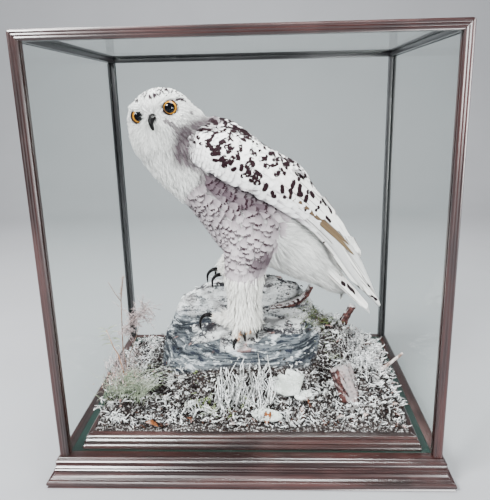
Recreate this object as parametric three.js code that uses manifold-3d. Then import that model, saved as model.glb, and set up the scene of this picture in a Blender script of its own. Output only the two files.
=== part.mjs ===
// A mounted snowy owl on frosted rockwork, in a glazed mahogany table case.
// Millimetres, +Z up. The origin is the middle of the case's underside; +X is to the right of the
// glazed front and +Y runs to the back. The bird is modelled in a frame of its own, turned about Z:
// its -X is the way the body points, its -Y is the side towards the front glass (the bird's left).
import * as THREE from 'three';
import { mergeVertices } from 'three/addons/utils/BufferGeometryUtils.js';
import Module from 'manifold-3d';

const wasm = await Module();
wasm.setup();

// ---------------------------------------------------------------- driving dimensions
const CASE = { width: 640, depth: 444, height: 683 };      // glazed box above the plinth
const PLINTH = { height: 46, overhang: 20, depth: 34 };    // moulded plinth round the foot
const FRAME = { face: 15, reed: 1.1, corner: 5 };          // slender reeded glazing bars
const GLASS = { thickness: 3, inset: 4.6, rebate: 4 };     // panes and the grooves that hold them
const BOARD = { floor: 12, base: 6 };                      // painted floor board, board closing the foot
const TRAY = { left: -287, right: 291, front: -205, back: 130, rail: 16, height: 25 };
const BIRD_TURN = THREE.MathUtils.degToRad(10);            // body heading from the case's -X
const HEAD_TURN = { yaw: -18.6, roll: -13, pitch: 2 };     // degrees, head against the body
const HEAD_CENTRE = [-152, -12, 603];
const EYE = { radius: 13.5, apart: 59, forward: 36.6, up: 9 };
const GAP = 0.3;                                           // clearance between touching pieces
const SKIN_GAP = 0.6;                                      // clearance across curved facets

const FLOOR_TOP = PLINTH.height;
const GROUND_BASE = FLOOR_TOP + GAP;

// ---------------------------------------------------------------- solid geometry
function closed(geometry) {
  const bare = geometry.clone();
  bare.deleteAttribute('normal');
  bare.deleteAttribute('uv');
  return mergeVertices(bare, 1e-4);
}

function solid(geometry) {
  const mesh = closed(geometry);
  return new wasm.Manifold(new wasm.Mesh({
    numProp: 3,
    vertProperties: new Float32Array(mesh.attributes.position.array),
    triVerts: new Uint32Array(mesh.index.array),
  }));
}

function geometryOf(manifold) {
  const mesh = manifold.getMesh();
  const geometry = new THREE.BufferGeometry();
  geometry.setAttribute('position', new THREE.BufferAttribute(new Float32Array(mesh.vertProperties), 3));
  geometry.setIndex(new THREE.BufferAttribute(new Uint32Array(mesh.triVerts), 1));
  return geometry;
}

// The largest connected piece of a cut solid: slivers shaved off by a neighbour are dropped, and
// facets thinner than the tolerance are folded into the ones beside them.
function largest(manifold) {
  const pieces = manifold.decompose();
  return pieces.reduce((best, piece) => (piece.volume() > best.volume() ? piece : best)).simplify(0.05);
}

// Everything on the side of a plane that its normal points to, kept half a gap clear of the plane.
function halfSpace(point, normal) {
  const size = 2000;
  const direction = new THREE.Vector3(...normal).normalize();
  const box = new THREE.BoxGeometry(size, size, size).translate(0, 0, size / 2 + GAP / 2);
  box.applyQuaternion(new THREE.Quaternion().setFromUnitVectors(new THREE.Vector3(0, 0, 1), direction));
  return solid(box.translate(...point));
}

function facingOut(geometry) {
  const position = geometry.attributes.position;
  const index = geometry.index.array;
  const [a, b, c] = [new THREE.Vector3(), new THREE.Vector3(), new THREE.Vector3()];
  let volume = 0;
  for (let i = 0; i < index.length; i += 3) {
    a.fromBufferAttribute(position, index[i]);
    b.fromBufferAttribute(position, index[i + 1]);
    c.fromBufferAttribute(position, index[i + 2]);
    volume += a.dot(b.cross(c));
  }
  if (volume < 0) geometry.setIndex(Array.from(index).reverse());
  return geometry;
}

function indexed(points, triangles) {
  const geometry = new THREE.BufferGeometry().setFromPoints(points);
  geometry.setIndex(triangles);
  return facingOut(geometry);
}

// A closed skin over a row of rings with the same number of points each.
function loft(rings) {
  const points = rings.flat();
  const sides = rings[0].length;
  const triangles = [];
  for (let i = 0; i + 1 < rings.length; i += 1) {
    for (let j = 0; j < sides; j += 1) {
      const [a, b] = [i * sides + j, i * sides + ((j + 1) % sides)];
      triangles.push(a, b, a + sides, b, b + sides, a + sides);
    }
  }
  for (const [first, order] of [[0, 1], [(rings.length - 1) * sides, -1]]) {
    for (let j = 1; j + 1 < sides; j += 1) {
      triangles.push(first, ...(order > 0 ? [first + j + 1, first + j] : [first + j, first + j + 1]));
    }
  }
  return indexed(points, triangles);
}

// A round bar of changing radius along a smooth curve through a few points.
function taperedBar(points, radiusAt, { steps = 8, sides = 7, flatten = 1 } = {}) {
  const curve = new THREE.CatmullRomCurve3(points.map((p) => new THREE.Vector3(...p)));
  const frames = curve.computeFrenetFrames(steps);
  return loft(Array.from({ length: steps + 1 }, (_, i) => {
    const centre = curve.getPointAt(i / steps);
    return Array.from({ length: sides }, (__, j) => {
      const angle = (2 * Math.PI * j) / sides;
      return centre.clone()
        .addScaledVector(frames.normals[i], radiusAt(i / steps) * Math.cos(angle))
        .addScaledVector(frames.binormals[i], radiusAt(i / steps) * flatten * Math.sin(angle));
    });
  }));
}

// A straight moulding along X with mitred ends: its profile holds (outward, up) points, and the
// ends lean out at 45 degrees so that four of them close round a rectangle.
function mouldingAlongX(profile, length) {
  const faces = THREE.ShapeUtils.triangulateShape(profile, []);
  const ends = [-1, 1].map((side) => profile.map(
    (p) => new THREE.Vector3(side * (length / 2 + p.x - GAP / 2), -p.x, p.y),
  ));
  const sides = profile.length;
  const triangles = [];
  for (let j = 0; j < sides; j += 1) {
    const k = (j + 1) % sides;
    triangles.push(j, k, j + sides, k, k + sides, j + sides);
  }
  for (const [a, b, c] of faces) triangles.push(c, b, a, a + sides, b + sides, c + sides);
  const points = ends.flat();
  return indexed(points, triangles);
}

// Points of a round bead on a moulding, turned from one angle to another (degrees).
function bead(x, y, radius, from, to, steps = 4) {
  return Array.from({ length: steps + 1 }, (_, i) => {
    const angle = THREE.MathUtils.degToRad(from + ((to - from) * i) / steps);
    return new THREE.Vector2(x + radius * Math.cos(angle), y + radius * Math.sin(angle));
  });
}

// ---------------------------------------------------------------- rounded forms by distance
const mix = (a, b, t) => a + (b - a) * t;
const clamp = (v, low = 0, high = 1) => Math.min(high, Math.max(low, v));
const smoothstep = (from, to, v) => {
  const t = clamp((v - from) / (to - from));
  return t * t * (3 - 2 * t);
};

function blend(a, b, width) {
  const t = clamp(0.5 + (0.5 * (b - a)) / width);
  return mix(b, a, t) - width * t * (1 - t);
}

// A limb is a pair of balls and the taper between them; wide squeezes or spreads it along Y.
function limb(p, [from, r0], [to, r1], wide = 1) {
  const axis = [to[0] - from[0], (to[1] - from[1]) / wide, to[2] - from[2]];
  const rel = [p[0] - from[0], (p[1] - from[1]) / wide, p[2] - from[2]];
  const along = clamp((rel[0] * axis[0] + rel[1] * axis[1] + rel[2] * axis[2])
    / (axis[0] ** 2 + axis[1] ** 2 + axis[2] ** 2));
  return Math.hypot(rel[0] - axis[0] * along, rel[1] - axis[1] * along, rel[2] - axis[2] * along)
    - mix(r0, r1, along);
}

function egg(p, centre, radii) {
  const rel = p.map((v, i) => v - centre[i]);
  const k0 = Math.hypot(...rel.map((v, i) => v / radii[i]));
  const k1 = Math.hypot(...rel.map((v, i) => v / radii[i] ** 2));
  return k1 < 1e-9 ? -Math.min(...radii) : (k0 * (k0 - 1)) / k1;
}

// The surface where a distance field is zero, as a net with one point in each cell that the
// surface crosses, drawn onto the surface along the field's slope and then lifted off it by a
// clearance. The box closes what runs past it.
function surfaceNet(openField, low, high, cell, lift = 0) {
  const wall = 1.5 * cell;
  const field = (p) => Math.max(
    openField(p),
    ...p.map((v, i) => Math.max(low[i] + wall - v, v + wall - high[i])),
  );
  const count = low.map((v, i) => Math.ceil((high[i] - v) / cell) + 1);
  const at = (i, j, k) => (k * count[1] + j) * count[0] + i;
  const place = (i, j, k) => [low[0] + i * cell, low[1] + j * cell, low[2] + k * cell];
  const value = new Float64Array(count[0] * count[1] * count[2]);
  for (let k = 0; k < count[2]; k += 1) {
    for (let j = 0; j < count[1]; j += 1) {
      for (let i = 0; i < count[0]; i += 1) value[at(i, j, k)] = field(place(i, j, k));
    }
  }
  const corners = [0, 1, 2, 3, 4, 5, 6, 7].map((n) => [n & 1, (n >> 1) & 1, (n >> 2) & 1]);
  const edges = [];
  corners.forEach((a, m) => corners.forEach((b, n) => {
    if (m < n && a.filter((v, axis) => v !== b[axis]).length === 1) edges.push([a, b]);
  }));
  const points = [];
  const pointIn = new Map();
  for (let k = 0; k + 1 < count[2]; k += 1) {
    for (let j = 0; j + 1 < count[1]; j += 1) {
      for (let i = 0; i + 1 < count[0]; i += 1) {
        const sum = [0, 0, 0];
        let crossings = 0;
        for (const [a, b] of edges) {
          const va = value[at(i + a[0], j + a[1], k + a[2])];
          const vb = value[at(i + b[0], j + b[1], k + b[2])];
          if ((va < 0) !== (vb < 0)) {
            const t = va / (va - vb);
            for (let axis = 0; axis < 3; axis += 1) sum[axis] += mix(a[axis], b[axis], t);
            crossings += 1;
          }
        }
        if (crossings) {
          pointIn.set(at(i, j, k), points.length);
          points.push(place(i + sum[0] / crossings, j + sum[1] / crossings, k + sum[2] / crossings));
        }
      }
    }
  }
  const nudge = 0.05;
  const slopeAt = (p) => [0, 1, 2].map((axis) => {
    const q = [...p];
    q[axis] += nudge;
    return (field(q) - field(p)) / nudge;
  });
  const settled = points.map((start) => {
    let p = start;
    for (let step = 0; step < 4; step += 1) {
      const slope = slopeAt(p);
      const steep = slope.reduce((sum, v) => sum + v * v, 1e-6);
      const move = clamp(field(p) / steep, -cell / 2, cell / 2);
      p = p.map((v, axis) => v - move * slope[axis]);
    }
    const outward = new THREE.Vector3(...slopeAt(p)).normalize();
    return new THREE.Vector3(...p).addScaledVector(outward, lift);
  });
  const triangles = [];
  const around = [[[0, 1, 0], [0, 0, 1]], [[0, 0, 1], [1, 0, 0]], [[1, 0, 0], [0, 1, 0]]];
  for (let k = 1; k + 1 < count[2]; k += 1) {
    for (let j = 1; j + 1 < count[1]; j += 1) {
      for (let i = 1; i + 1 < count[0]; i += 1) {
        const inside = value[at(i, j, k)] < 0;
        [[1, 0, 0], [0, 1, 0], [0, 0, 1]].forEach((step, axis) => {
          if (inside === value[at(i + step[0], j + step[1], k + step[2])] < 0) return;
          const [u, v] = around[axis];
          const ring = [[0, 0], [1, 0], [1, 1], [0, 1]].map(([m, n]) => pointIn.get(
            at(i - m * u[0] - n * v[0], j - m * u[1] - n * v[1], k - m * u[2] - n * v[2]),
          ));
          if (!inside) ring.reverse();
          triangles.push(ring[0], ring[1], ring[2], ring[0], ring[2], ring[3]);
        });
      }
    }
  }
  return indexed(settled, triangles);
}

// ---------------------------------------------------------------- materials
const finish = (color, roughness, metalness = 0, extra = {}) => new THREE.MeshStandardMaterial({
  color, roughness, metalness, ...extra,
});
const MAHOGANY = finish(0x4a211c, 0.28);
const DARK_WOOD = finish(0x25222a, 0.45);
const PANE = finish(0xdfe8e6, 0.05, 0, { transparent: true, opacity: 0.18 });
const GREEN_PAINT = finish(0x12352f, 0.6);
const ROCKWORK = finish(0xa9adb6, 0.9);
const FLAT_STONE = finish(0xb6b4ac, 0.85);
const BARK = finish(0x4a2a2a, 0.9);
const PALE_TWIG = finish(0xc9bdb4, 0.85);
const PLUMAGE = finish(0xeae6e4, 0.9);
const BARRED = finish(0xd2c3c6, 0.9);
const SPOTTED = finish(0xd9d2cf, 0.85);
const HORN = finish(0x17151a, 0.3);
const EYE_GLASS = finish(0xe08a14, 0.05);

// ---------------------------------------------------------------- assembly
const object = new THREE.Group();
const bird = new THREE.Group();
bird.rotation.z = BIRD_TURN;
object.add(bird);

function add(parent, name, geometry, material) {
  const mesh = new THREE.Mesh(geometry, material);
  mesh.name = name;
  parent.add(mesh);
  return mesh;
}

// ================================================================ the case
const OUT = { x: CASE.width / 2, y: CASE.depth / 2, top: PLINTH.height + CASE.height };

// The four sides of the case, as quarter turns with the length that each side has.
const SIDES = [
  { name: 'front', turn: 0, length: CASE.width, reach: OUT.y },
  { name: 'right', turn: Math.PI / 2, length: CASE.depth, reach: OUT.x },
  { name: 'back', turn: Math.PI, length: CASE.width, reach: OUT.y },
  { name: 'left', turn: -Math.PI / 2, length: CASE.depth, reach: OUT.x },
];

// Plinth: torus at the foot, a cove, then small steps and beads up to the ledge the frame stands on.
function plinthProfile() {
  const inner = -PLINTH.depth + PLINTH.overhang;
  return [
    new THREE.Vector2(inner, 0),
    new THREE.Vector2(PLINTH.overhang - 1, 0),
    ...bead(PLINTH.overhang - 5, 7, 5, -60, 100),
    ...bead(PLINTH.overhang - 2.5, 23.5, 10.5, 255, 190, 3),
    ...bead(7, 25, 1.8, -60, 90, 2),
    ...bead(6.2, 29.4, 1.8, -60, 90, 2),
    new THREE.Vector2(5, 32),
    ...bead(4, 34.6, 2.2, -50, 60, 2),
    ...bead(4.4, 39, 2.4, -50, 80, 2),
    new THREE.Vector2(2.6, 42.4),
    ...bead(1, 44, 2, -30, 90, 2),
    new THREE.Vector2(inner, PLINTH.height),
  ];
}

for (const side of SIDES) {
  const geometry = mouldingAlongX(plinthProfile(), side.length)
    .translate(0, -side.reach, 0).rotateZ(side.turn);
  add(object, `plinth_${side.name}`, geometry, MAHOGANY);
}

// The floor board lies inside the plinth, flush with its ledge, and is painted dark green; a thin
// base board closes the plinth underneath.
const boardInset = PLINTH.depth - PLINTH.overhang + GAP;
function board(thickness, top) {
  return new THREE.BoxGeometry(
    CASE.width - 2 * boardInset,
    CASE.depth - 2 * boardInset,
    thickness,
  ).translate(0, 0, top - thickness / 2);
}
add(object, 'floor_board', board(BOARD.floor, FLOOR_TOP), GREEN_PAINT);
add(object, 'base_board', board(BOARD.base, BOARD.base), DARK_WOOD);

// Glazing bar section, as (outward, up): three reeds on the outer face and grooves for the panes.
// A top rail holds the wall pane in a groove in its underside and the roof pane in its inner face.
function reeds(from, to, number) {
  const pitch = (to - from) / number;
  return Array.from({ length: number }, (_, i) => bead(
    -FRAME.reed, from + pitch * (i + 0.5), pitch / 2, -65, 65, 2,
  ).map((p) => new THREE.Vector2(Math.min(0, p.x - pitch / 2 + FRAME.reed), p.y))).flat();
}

function topRailProfile() {
  const { face } = FRAME;
  const [near, far] = [-GLASS.inset + GAP, -GLASS.inset - GLASS.thickness - GAP];
  const bottom = -face;
  return [
    new THREE.Vector2(-1.4, bottom),
    ...reeds(bottom + 1, -1, 3),
    new THREE.Vector2(-1.4, 0),
    new THREE.Vector2(-face, 0),
    new THREE.Vector2(-face, near),
    new THREE.Vector2(-face + GLASS.rebate, near),
    new THREE.Vector2(-face + GLASS.rebate, far),
    new THREE.Vector2(-face, far),
    new THREE.Vector2(-face, bottom),
    new THREE.Vector2(far, bottom),
    new THREE.Vector2(far, bottom + GLASS.rebate),
    new THREE.Vector2(near, bottom + GLASS.rebate),
    new THREE.Vector2(near, bottom),
  ];
}

// The rounded block that the outer corners of the frame are shaved to, seen from the front.
function roundedFront() {
  const [w, h, r] = [OUT.x, OUT.top, FRAME.corner];
  const outline = new THREE.Shape();
  outline.moveTo(-w, PLINTH.height);
  outline.lineTo(w, PLINTH.height);
  outline.lineTo(w, h - r);
  outline.absarc(w - r, h - r, r, 0, Math.PI / 2);
  outline.absarc(r - w, h - r, r, Math.PI / 2, Math.PI);
  const block = new THREE.ExtrudeGeometry(outline, {
    depth: CASE.depth + 10, bevelEnabled: false, curveSegments: 3,
  });
  return solid(block.rotateX(Math.PI / 2).translate(0, OUT.y + 5, 0));
}

const shaved = roundedFront();

// Three bars meet at each top corner in a three-way mitre: each keeps what lies nearest its own line.
function mitred(bar, corner, along) {
  const inward = corner.map((v) => -Math.sign(v));
  let result = bar;
  for (const other of [0, 1, 2].filter((axis) => axis !== along)) {
    const normal = [0, 0, 0];
    normal[along] = inward[along];
    normal[other] = -inward[other];
    result = result.intersect(halfSpace(corner, normal));
  }
  return result;
}

for (const side of SIDES) {
  const along = side.turn === 0 || side.turn === Math.PI ? 0 : 1;
  const bar = mouldingAlongX(topRailProfile(), side.length)
    .translate(0, -side.reach, OUT.top).rotateZ(side.turn);
  let rail = solid(bar);
  for (const end of [-1, 1]) {
    const [u, v] = [(end * side.length) / 2, -side.reach];
    const corner = [
      u * Math.cos(side.turn) - v * Math.sin(side.turn),
      u * Math.sin(side.turn) + v * Math.cos(side.turn),
      OUT.top,
    ];
    rail = mitred(rail, corner, along);
  }
  add(object, `top_rail_${side.name}`, geometryOf(rail.intersect(shaved)),
    side.name === 'front' ? MAHOGANY : DARK_WOOD);
}

// Posts: the same bar stood upright, reeded on the face seen from the front or the back.
function postProfile() {
  const { face } = FRAME;
  const [near, far] = [GLASS.inset - GAP, GLASS.inset + GLASS.thickness + GAP];
  const pitch = (face - 2) / 3;
  const outline = [new THREE.Vector2(0, face), new THREE.Vector2(0, 1.6), new THREE.Vector2(1, 0.4)];
  for (let i = 0; i < 3; i += 1) {
    const middle = 1 + pitch * (i + 0.5);
    outline.push(new THREE.Vector2(middle, 0), new THREE.Vector2(middle + pitch / 2, FRAME.reed));
  }
  outline.push(
    new THREE.Vector2(face, 1.6),
    new THREE.Vector2(face, near),
    new THREE.Vector2(face - GLASS.rebate, near),
    new THREE.Vector2(face - GLASS.rebate, far),
    new THREE.Vector2(face, far),
    new THREE.Vector2(face, face),
    new THREE.Vector2(far, face),
    new THREE.Vector2(far, face - GLASS.rebate),
    new THREE.Vector2(near, face - GLASS.rebate),
    new THREE.Vector2(near, face),
  );
  return new THREE.Shape(outline);
}

for (const [vertical, sy] of [['front', -1], ['back', 1]]) {
  for (const [horizontal, sx] of [['left', -1], ['right', 1]]) {
    const post = new THREE.ExtrudeGeometry(postProfile(), {
      depth: CASE.height - GAP, bevelEnabled: false,
    });
    post.scale(-sx, -sy, 1).translate(sx * OUT.x, sy * OUT.y, PLINTH.height + GAP);
    const whole = solid(facingOut(closed(post)));
    const cut = mitred(whole, [sx * OUT.x, sy * OUT.y, OUT.top], 2).intersect(shaved);
    add(object, `post_${vertical}_${horizontal}`, geometryOf(cut),
      vertical === 'front' ? MAHOGANY : DARK_WOOD);
  }
}

// Panes: four walls that stand on the plinth, and the roof.
const paneIn = GLASS.inset + GLASS.thickness / 2;
const paneEdge = FRAME.face - GLASS.rebate + GAP;
const paneTop = OUT.top - FRAME.face + GLASS.rebate - GAP;
const paneHeight = paneTop - FLOOR_TOP - GAP;
const paneMiddle = FLOOR_TOP + GAP + paneHeight / 2;
for (const [name, sy] of [['front', -1], ['back', 1]]) {
  add(object, `glass_${name}`, new THREE.BoxGeometry(
    CASE.width - 2 * paneEdge,
    GLASS.thickness,
    paneHeight,
  ).translate(0, sy * (OUT.y - paneIn), paneMiddle), PANE);
}
for (const [name, sx] of [['left', -1], ['right', 1]]) {
  add(object, `glass_${name}`, new THREE.BoxGeometry(
    GLASS.thickness,
    CASE.depth - 2 * paneEdge,
    paneHeight,
  ).translate(sx * (OUT.x - paneIn), 0, paneMiddle), PANE);
}
add(object, 'glass_roof', new THREE.BoxGeometry(
  CASE.width - 2 * paneEdge,
  CASE.depth - 2 * paneEdge,
  GLASS.thickness,
).translate(0, 0, OUT.top - paneIn), PANE);

// ================================================================ the tray and its groundwork
const TRAY_SIZE = {
  x: (TRAY.left + TRAY.right) / 2,
  y: (TRAY.front + TRAY.back) / 2,
  width: TRAY.right - TRAY.left,
  depth: TRAY.back - TRAY.front,
};

// Tray rail: three reeds stepping back up to a square shoulder, mitred at the corners.
function trayProfile() {
  const third = TRAY.height / 3;
  return [
    new THREE.Vector2(-TRAY.rail, 0),
    new THREE.Vector2(-0.5, 0),
    ...bead(-2.2, third * 0.5, 2.8, -60, 60, 2),
    ...bead(-5, third * 1.42, 3, -60, 60, 2),
    ...bead(-8, third * 2.35, 3, -60, 80, 2),
    new THREE.Vector2(-TRAY.rail, TRAY.height),
  ];
}

for (const side of SIDES) {
  const length = side.length === CASE.width ? TRAY_SIZE.width : TRAY_SIZE.depth;
  const reach = (side.length === CASE.width ? TRAY_SIZE.depth : TRAY_SIZE.width) / 2;
  const geometry = mouldingAlongX(trayProfile(), length).translate(0, -reach, GROUND_BASE)
    .rotateZ(side.turn).translate(TRAY_SIZE.x, TRAY_SIZE.y, 0);
  add(object, `tray_${side.name}`, geometry, MAHOGANY);
}

// Height of the groundwork over the tray: a low bed, banks at both sides, and the boulder that
// the bird stands on, with a lower shelf in front and a higher slab behind.
function groundHeight(x, y) {
  const ripple = 3.2 * Math.sin(x * 0.052 + y * 0.031) + 2.6 * Math.sin(y * 0.071 - x * 0.023)
    + 1.8 * Math.sin(x * 0.11 + 1.3) * Math.cos(y * 0.09);
  const bed = 76 + 16 * smoothstep(TRAY.front + 20, -110, y) + ripple;
  const leftBank = 26 * smoothstep(-175, -250, x) * smoothstep(-180, -110, y)
    * (1 - 0.45 * smoothstep(0, 120, y));
  const rightBank = 24 * smoothstep(150, 225, x) * smoothstep(-195, -90, y) * smoothstep(130, 50, y);
  const mossHill = 100 * Math.exp(-(((x - 160) / 52) ** 2) - (((y - 12) / 50) ** 2));
  const lowGround = bed + leftBank + rightBank + mossHill - 14 * smoothstep(40, 120, y);
  const shelf = 195 - 0.0009 * (x - 60) ** 2 + 1.5 * Math.sin(x * 0.09) + 0.08 * (y + 90);
  const slabTop = 268 - 0.0020 * x ** 2 - 0.10 * (y - 40) + 2 * Math.sin(x * 0.06 + y * 0.05);
  const top = mix(shelf, slabTop, smoothstep(-6, 34, y - 0.10 * x));
  const reach = y < 17 ? 134 : 88;
  const around = ((Math.abs(x + 22) / 172) ** 3 + (Math.abs(y - 17) / reach) ** 3) ** (1 / 3);
  const ground = mix(top, lowGround, smoothstep(0.80, 1.06, around));
  const border = Math.min(x - TRAY.left, TRAY.right - x, TRAY.back - y) - TRAY.rail;
  return mix(74, ground, smoothstep(-22, 34, border));
}

function groundBlock(lift, step) {
  const low = { x: TRAY.left + TRAY.rail + GAP, y: TRAY.front + TRAY.rail + GAP };
  const high = { x: TRAY.right - TRAY.rail - GAP, y: TRAY.back - TRAY.rail - GAP };
  const columns = Math.round((high.x - low.x) / step);
  const rows = Math.round((high.y - low.y) / step);
  const points = [];
  for (let j = 0; j <= rows; j += 1) {
    for (let i = 0; i <= columns; i += 1) {
      const [x, y] = [mix(low.x, high.x, i / columns), mix(low.y, high.y, j / rows)];
      points.push(new THREE.Vector3(x, y, groundHeight(x, y) + lift));
    }
  }
  const at = (i, j) => j * (columns + 1) + i;
  const triangles = [];
  for (let j = 0; j < rows; j += 1) {
    for (let i = 0; i < columns; i += 1) {
      triangles.push(at(i, j), at(i + 1, j), at(i + 1, j + 1), at(i, j), at(i + 1, j + 1), at(i, j + 1));
    }
  }
  const border = [];
  for (let i = 0; i < columns; i += 1) border.push(at(i, 0));
  for (let j = 0; j < rows; j += 1) border.push(at(columns, j));
  for (let i = columns; i > 0; i -= 1) border.push(at(i, rows));
  for (let j = rows; j > 0; j -= 1) border.push(at(0, j));
  const foot = points.length;
  for (const n of border) points.push(new THREE.Vector3(points[n].x, points[n].y, GROUND_BASE));
  border.forEach((n, k) => {
    const next = (k + 1) % border.length;
    triangles.push(n, foot + k, foot + next, n, foot + next, border[next]);
  });
  const middle = points.length;
  points.push(new THREE.Vector3(TRAY_SIZE.x, TRAY_SIZE.y, GROUND_BASE));
  border.forEach((_, k) => triangles.push(middle, foot + ((k + 1) % border.length), foot + k));
  return indexed(points, triangles);
}

const GROUND_STEP = 31;
add(object, 'groundwork', groundBlock(0, GROUND_STEP), ROCKWORK);
const groundCutter = solid(groundBlock(SKIN_GAP, GROUND_STEP));
const clearOfGround = (shape) => largest(shape.subtract(groundCutter));

// A split stone slab that leans on the front of the boulder.
function leaningStone() {
  const outline = new THREE.Shape([[-24, -15], [0, -25], [24, -22], [35, 13], [-6, 27], [-33, 6]]
    .map(([x, y]) => new THREE.Vector2(x, y)));
  const slab = new THREE.ExtrudeGeometry(outline, { depth: 10, bevelEnabled: false });
  return slab.rotateX(THREE.MathUtils.degToRad(48)).translate(65, -110, 116);
}
add(object, 'leaning_stone', geometryOf(clearOfGround(solid(leaningStone()))), FLAT_STONE);

// A roll of dark bark on the right of the boulder, split down its left side and open at the top.
function barkCurl() {
  const [foot, top] = [new THREE.Vector3(187, -128, 80), new THREE.Vector3(167, -88, 136)];
  const [outer, inner, steps] = [22, 17, 6];
  const arc = (radius, from, to) => Array.from({ length: steps + 1 }, (_, i) => {
    const angle = THREE.MathUtils.degToRad(mix(from, to, i / steps));
    return new THREE.Vector2(radius * Math.cos(angle), 0.8 * radius * Math.sin(angle));
  });
  const section = new THREE.Shape([...arc(outer, -150, 130), ...arc(inner, 130, -150)]);
  const roll = new THREE.ExtrudeGeometry(section, { depth: foot.distanceTo(top), bevelEnabled: false });
  const lean = new THREE.Quaternion().setFromUnitVectors(
    new THREE.Vector3(0, 0, 1),
    top.clone().sub(foot).normalize(),
  );
  return roll.applyQuaternion(lean).translate(...foot.toArray());
}
add(object, 'bark_curl', geometryOf(clearOfGround(solid(barkCurl()))), BARK);

// Sticks: a dark branch under the bird, a broken stub behind it, and a pale twig at the right.
const branch = taperedBar(
  [[2, 8, 210], [46, 9, 215], [86, 12, 223], [110, 16, 238], [122, 20, 256]],
  (t) => 3 + 5.5 * Math.sin(Math.PI * mix(0.1, 0.85, t)),
  { steps: 7, sides: 6 },
);
add(object, 'branch', geometryOf(clearOfGround(solid(branch))), BARK);
const stub = taperedBar([[182, 14, 160], [192, 12, 190], [206, 10, 216]], (t) => mix(9, 7, t), { steps: 3 });
add(object, 'broken_stub', geometryOf(clearOfGround(solid(stub))), PALE_TWIG);
const twig = taperedBar([[232, -54, 92], [258, -68, 124], [285, -82, 160]], (t) => mix(3.6, 2.4, t), {
  steps: 4, sides: 6,
});
add(object, 'pale_twig', geometryOf(clearOfGround(solid(twig))), PALE_TWIG);

// ================================================================ the owl
// Head, in a frame of its own: -Y is the way the face looks, +X its left, +Z its crown.
const headTurn = new THREE.Matrix4().makeRotationFromEuler(new THREE.Euler(
  THREE.MathUtils.degToRad(HEAD_TURN.pitch),
  THREE.MathUtils.degToRad(HEAD_TURN.roll),
  THREE.MathUtils.degToRad(HEAD_TURN.yaw),
  'ZYX',
));
const headPlace = headTurn.clone().setPosition(...HEAD_CENTRE);
const headInverse = headPlace.clone().invert();
const inHead = (p) => new THREE.Vector3(...p).applyMatrix4(headInverse).toArray();

function headField(point) {
  const p = inHead(point);
  const q = [Math.abs(p[0]), p[1], p[2]];
  const skull = egg(p, [-4, 4, 2], [52, 44, 47]);
  const disc = egg(p, [0, -20, -5], [60, 33, 44]);
  let d = blend(skull, disc, 22);
  d = blend(d, egg(q, [29, -36, -20], [25, 17, 22]), 12);
  const hollow = egg(q, [EYE.apart / 2, -58, EYE.up - 1], [19, 13.5, 17]);
  d = -blend(-d, hollow, 10);
  d = blend(d, limb(q, [[8, -47, 13], 7], [[39, -40, 27], 5.5]), 9);
  d = blend(d, limb(p, [[0, -46, 8], 7], [[0, -54, -14], 10]), 10);
  return d;
}

// Neck, breast, back, belly, rump and the long fluff under the tail, all one skin.
function bodyField(p) {
  let d = blend(
    limb(p, [[-132, -8, 583], 46], [[-70, 0, 532], 69]),
    limb(p, [[-163, -24, 556], 44], [[-129, -8, 513], 47]),
    26,
  );
  d = blend(d, limb(p, [[-58, 0, 488], 81], [[4, 0, 418], 90], 0.93), 34);
  d = blend(d, limb(p, [[-48, 0, 536], 54], [[62, 0, 466], 50], 1.25), 22);
  d = blend(d, limb(p, [[62, 0, 466], 50], [[132, 0, 396], 39], 1.2), 22);
  d = blend(d, limb(p, [[16, 0, 400], 84], [[98, 0, 334], 52], 0.95), 26);
  d = blend(d, limb(p, [[98, 0, 332], 48], [[196, 0, 240], 17], 1.25), 24);
  return d;
}

const plumageField = (p) => blend(bodyField(p), headField(p), 18);

const BODY_BOX = [[-240, -120, 200], [240, 120, 680]];
const HEAD_BOX = [[-240, -96, 496], [-60, 76, 680]];
const BODY_CELL = 25;
const HEAD_CELL = 12.6;
const bodySolid = solid(surfaceNet(plumageField, ...BODY_BOX, BODY_CELL));
const bodyCutter = solid(surfaceNet(plumageField, ...BODY_BOX, BODY_CELL, SKIN_GAP));
const headSolid = solid(surfaceNet(plumageField, ...HEAD_BOX, HEAD_CELL));

const NECK_TOP = { point: [-150, -12, 558], normal: [-0.45, -0.1, 0.89] };
const NECK_FOOT = { point: [-86, 0, 512], normal: [-0.66, 0, 0.75] };
const away = (normal) => normal.map((v) => -v);

const eyes = [['right', -1], ['left', 1]].map(([side, sign]) => ({
  side,
  centre: new THREE.Vector3((sign * EYE.apart) / 2, -EYE.forward, EYE.up).applyMatrix4(headPlace),
}));
let head = headSolid.intersect(halfSpace(NECK_TOP.point, NECK_TOP.normal));
for (const eye of eyes) {
  const socket = new THREE.IcosahedronGeometry(EYE.radius + GAP + 0.25, 2).translate(...eye.centre.toArray());
  head = head.subtract(solid(socket));
  add(bird, `eye_${eye.side}`, new THREE.IcosahedronGeometry(EYE.radius, 2)
    .translate(...eye.centre.toArray()), EYE_GLASS);
}

// Bill: a short hooked horn tip that shows between the bristles.
const billPath = [[0, -45, 3], [0, -60, -2], [0, -66.5, -11], [0, -64.5, -20]];
const bill = taperedBar(billPath, (t) => mix(7.2, 1.1, t ** 1.3), { steps: 7, sides: 8, flatten: 0.8 });
bill.applyMatrix4(headPlace);
const billCutter = taperedBar(billPath, (t) => mix(7.2, 1.1, t ** 1.3) + SKIN_GAP, {
  steps: 7, sides: 8, flatten: 0.8,
}).applyMatrix4(headPlace);
add(bird, 'bill', bill, HORN);
add(bird, 'head', geometryOf(largest(head.subtract(solid(billCutter)))), PLUMAGE);

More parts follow.
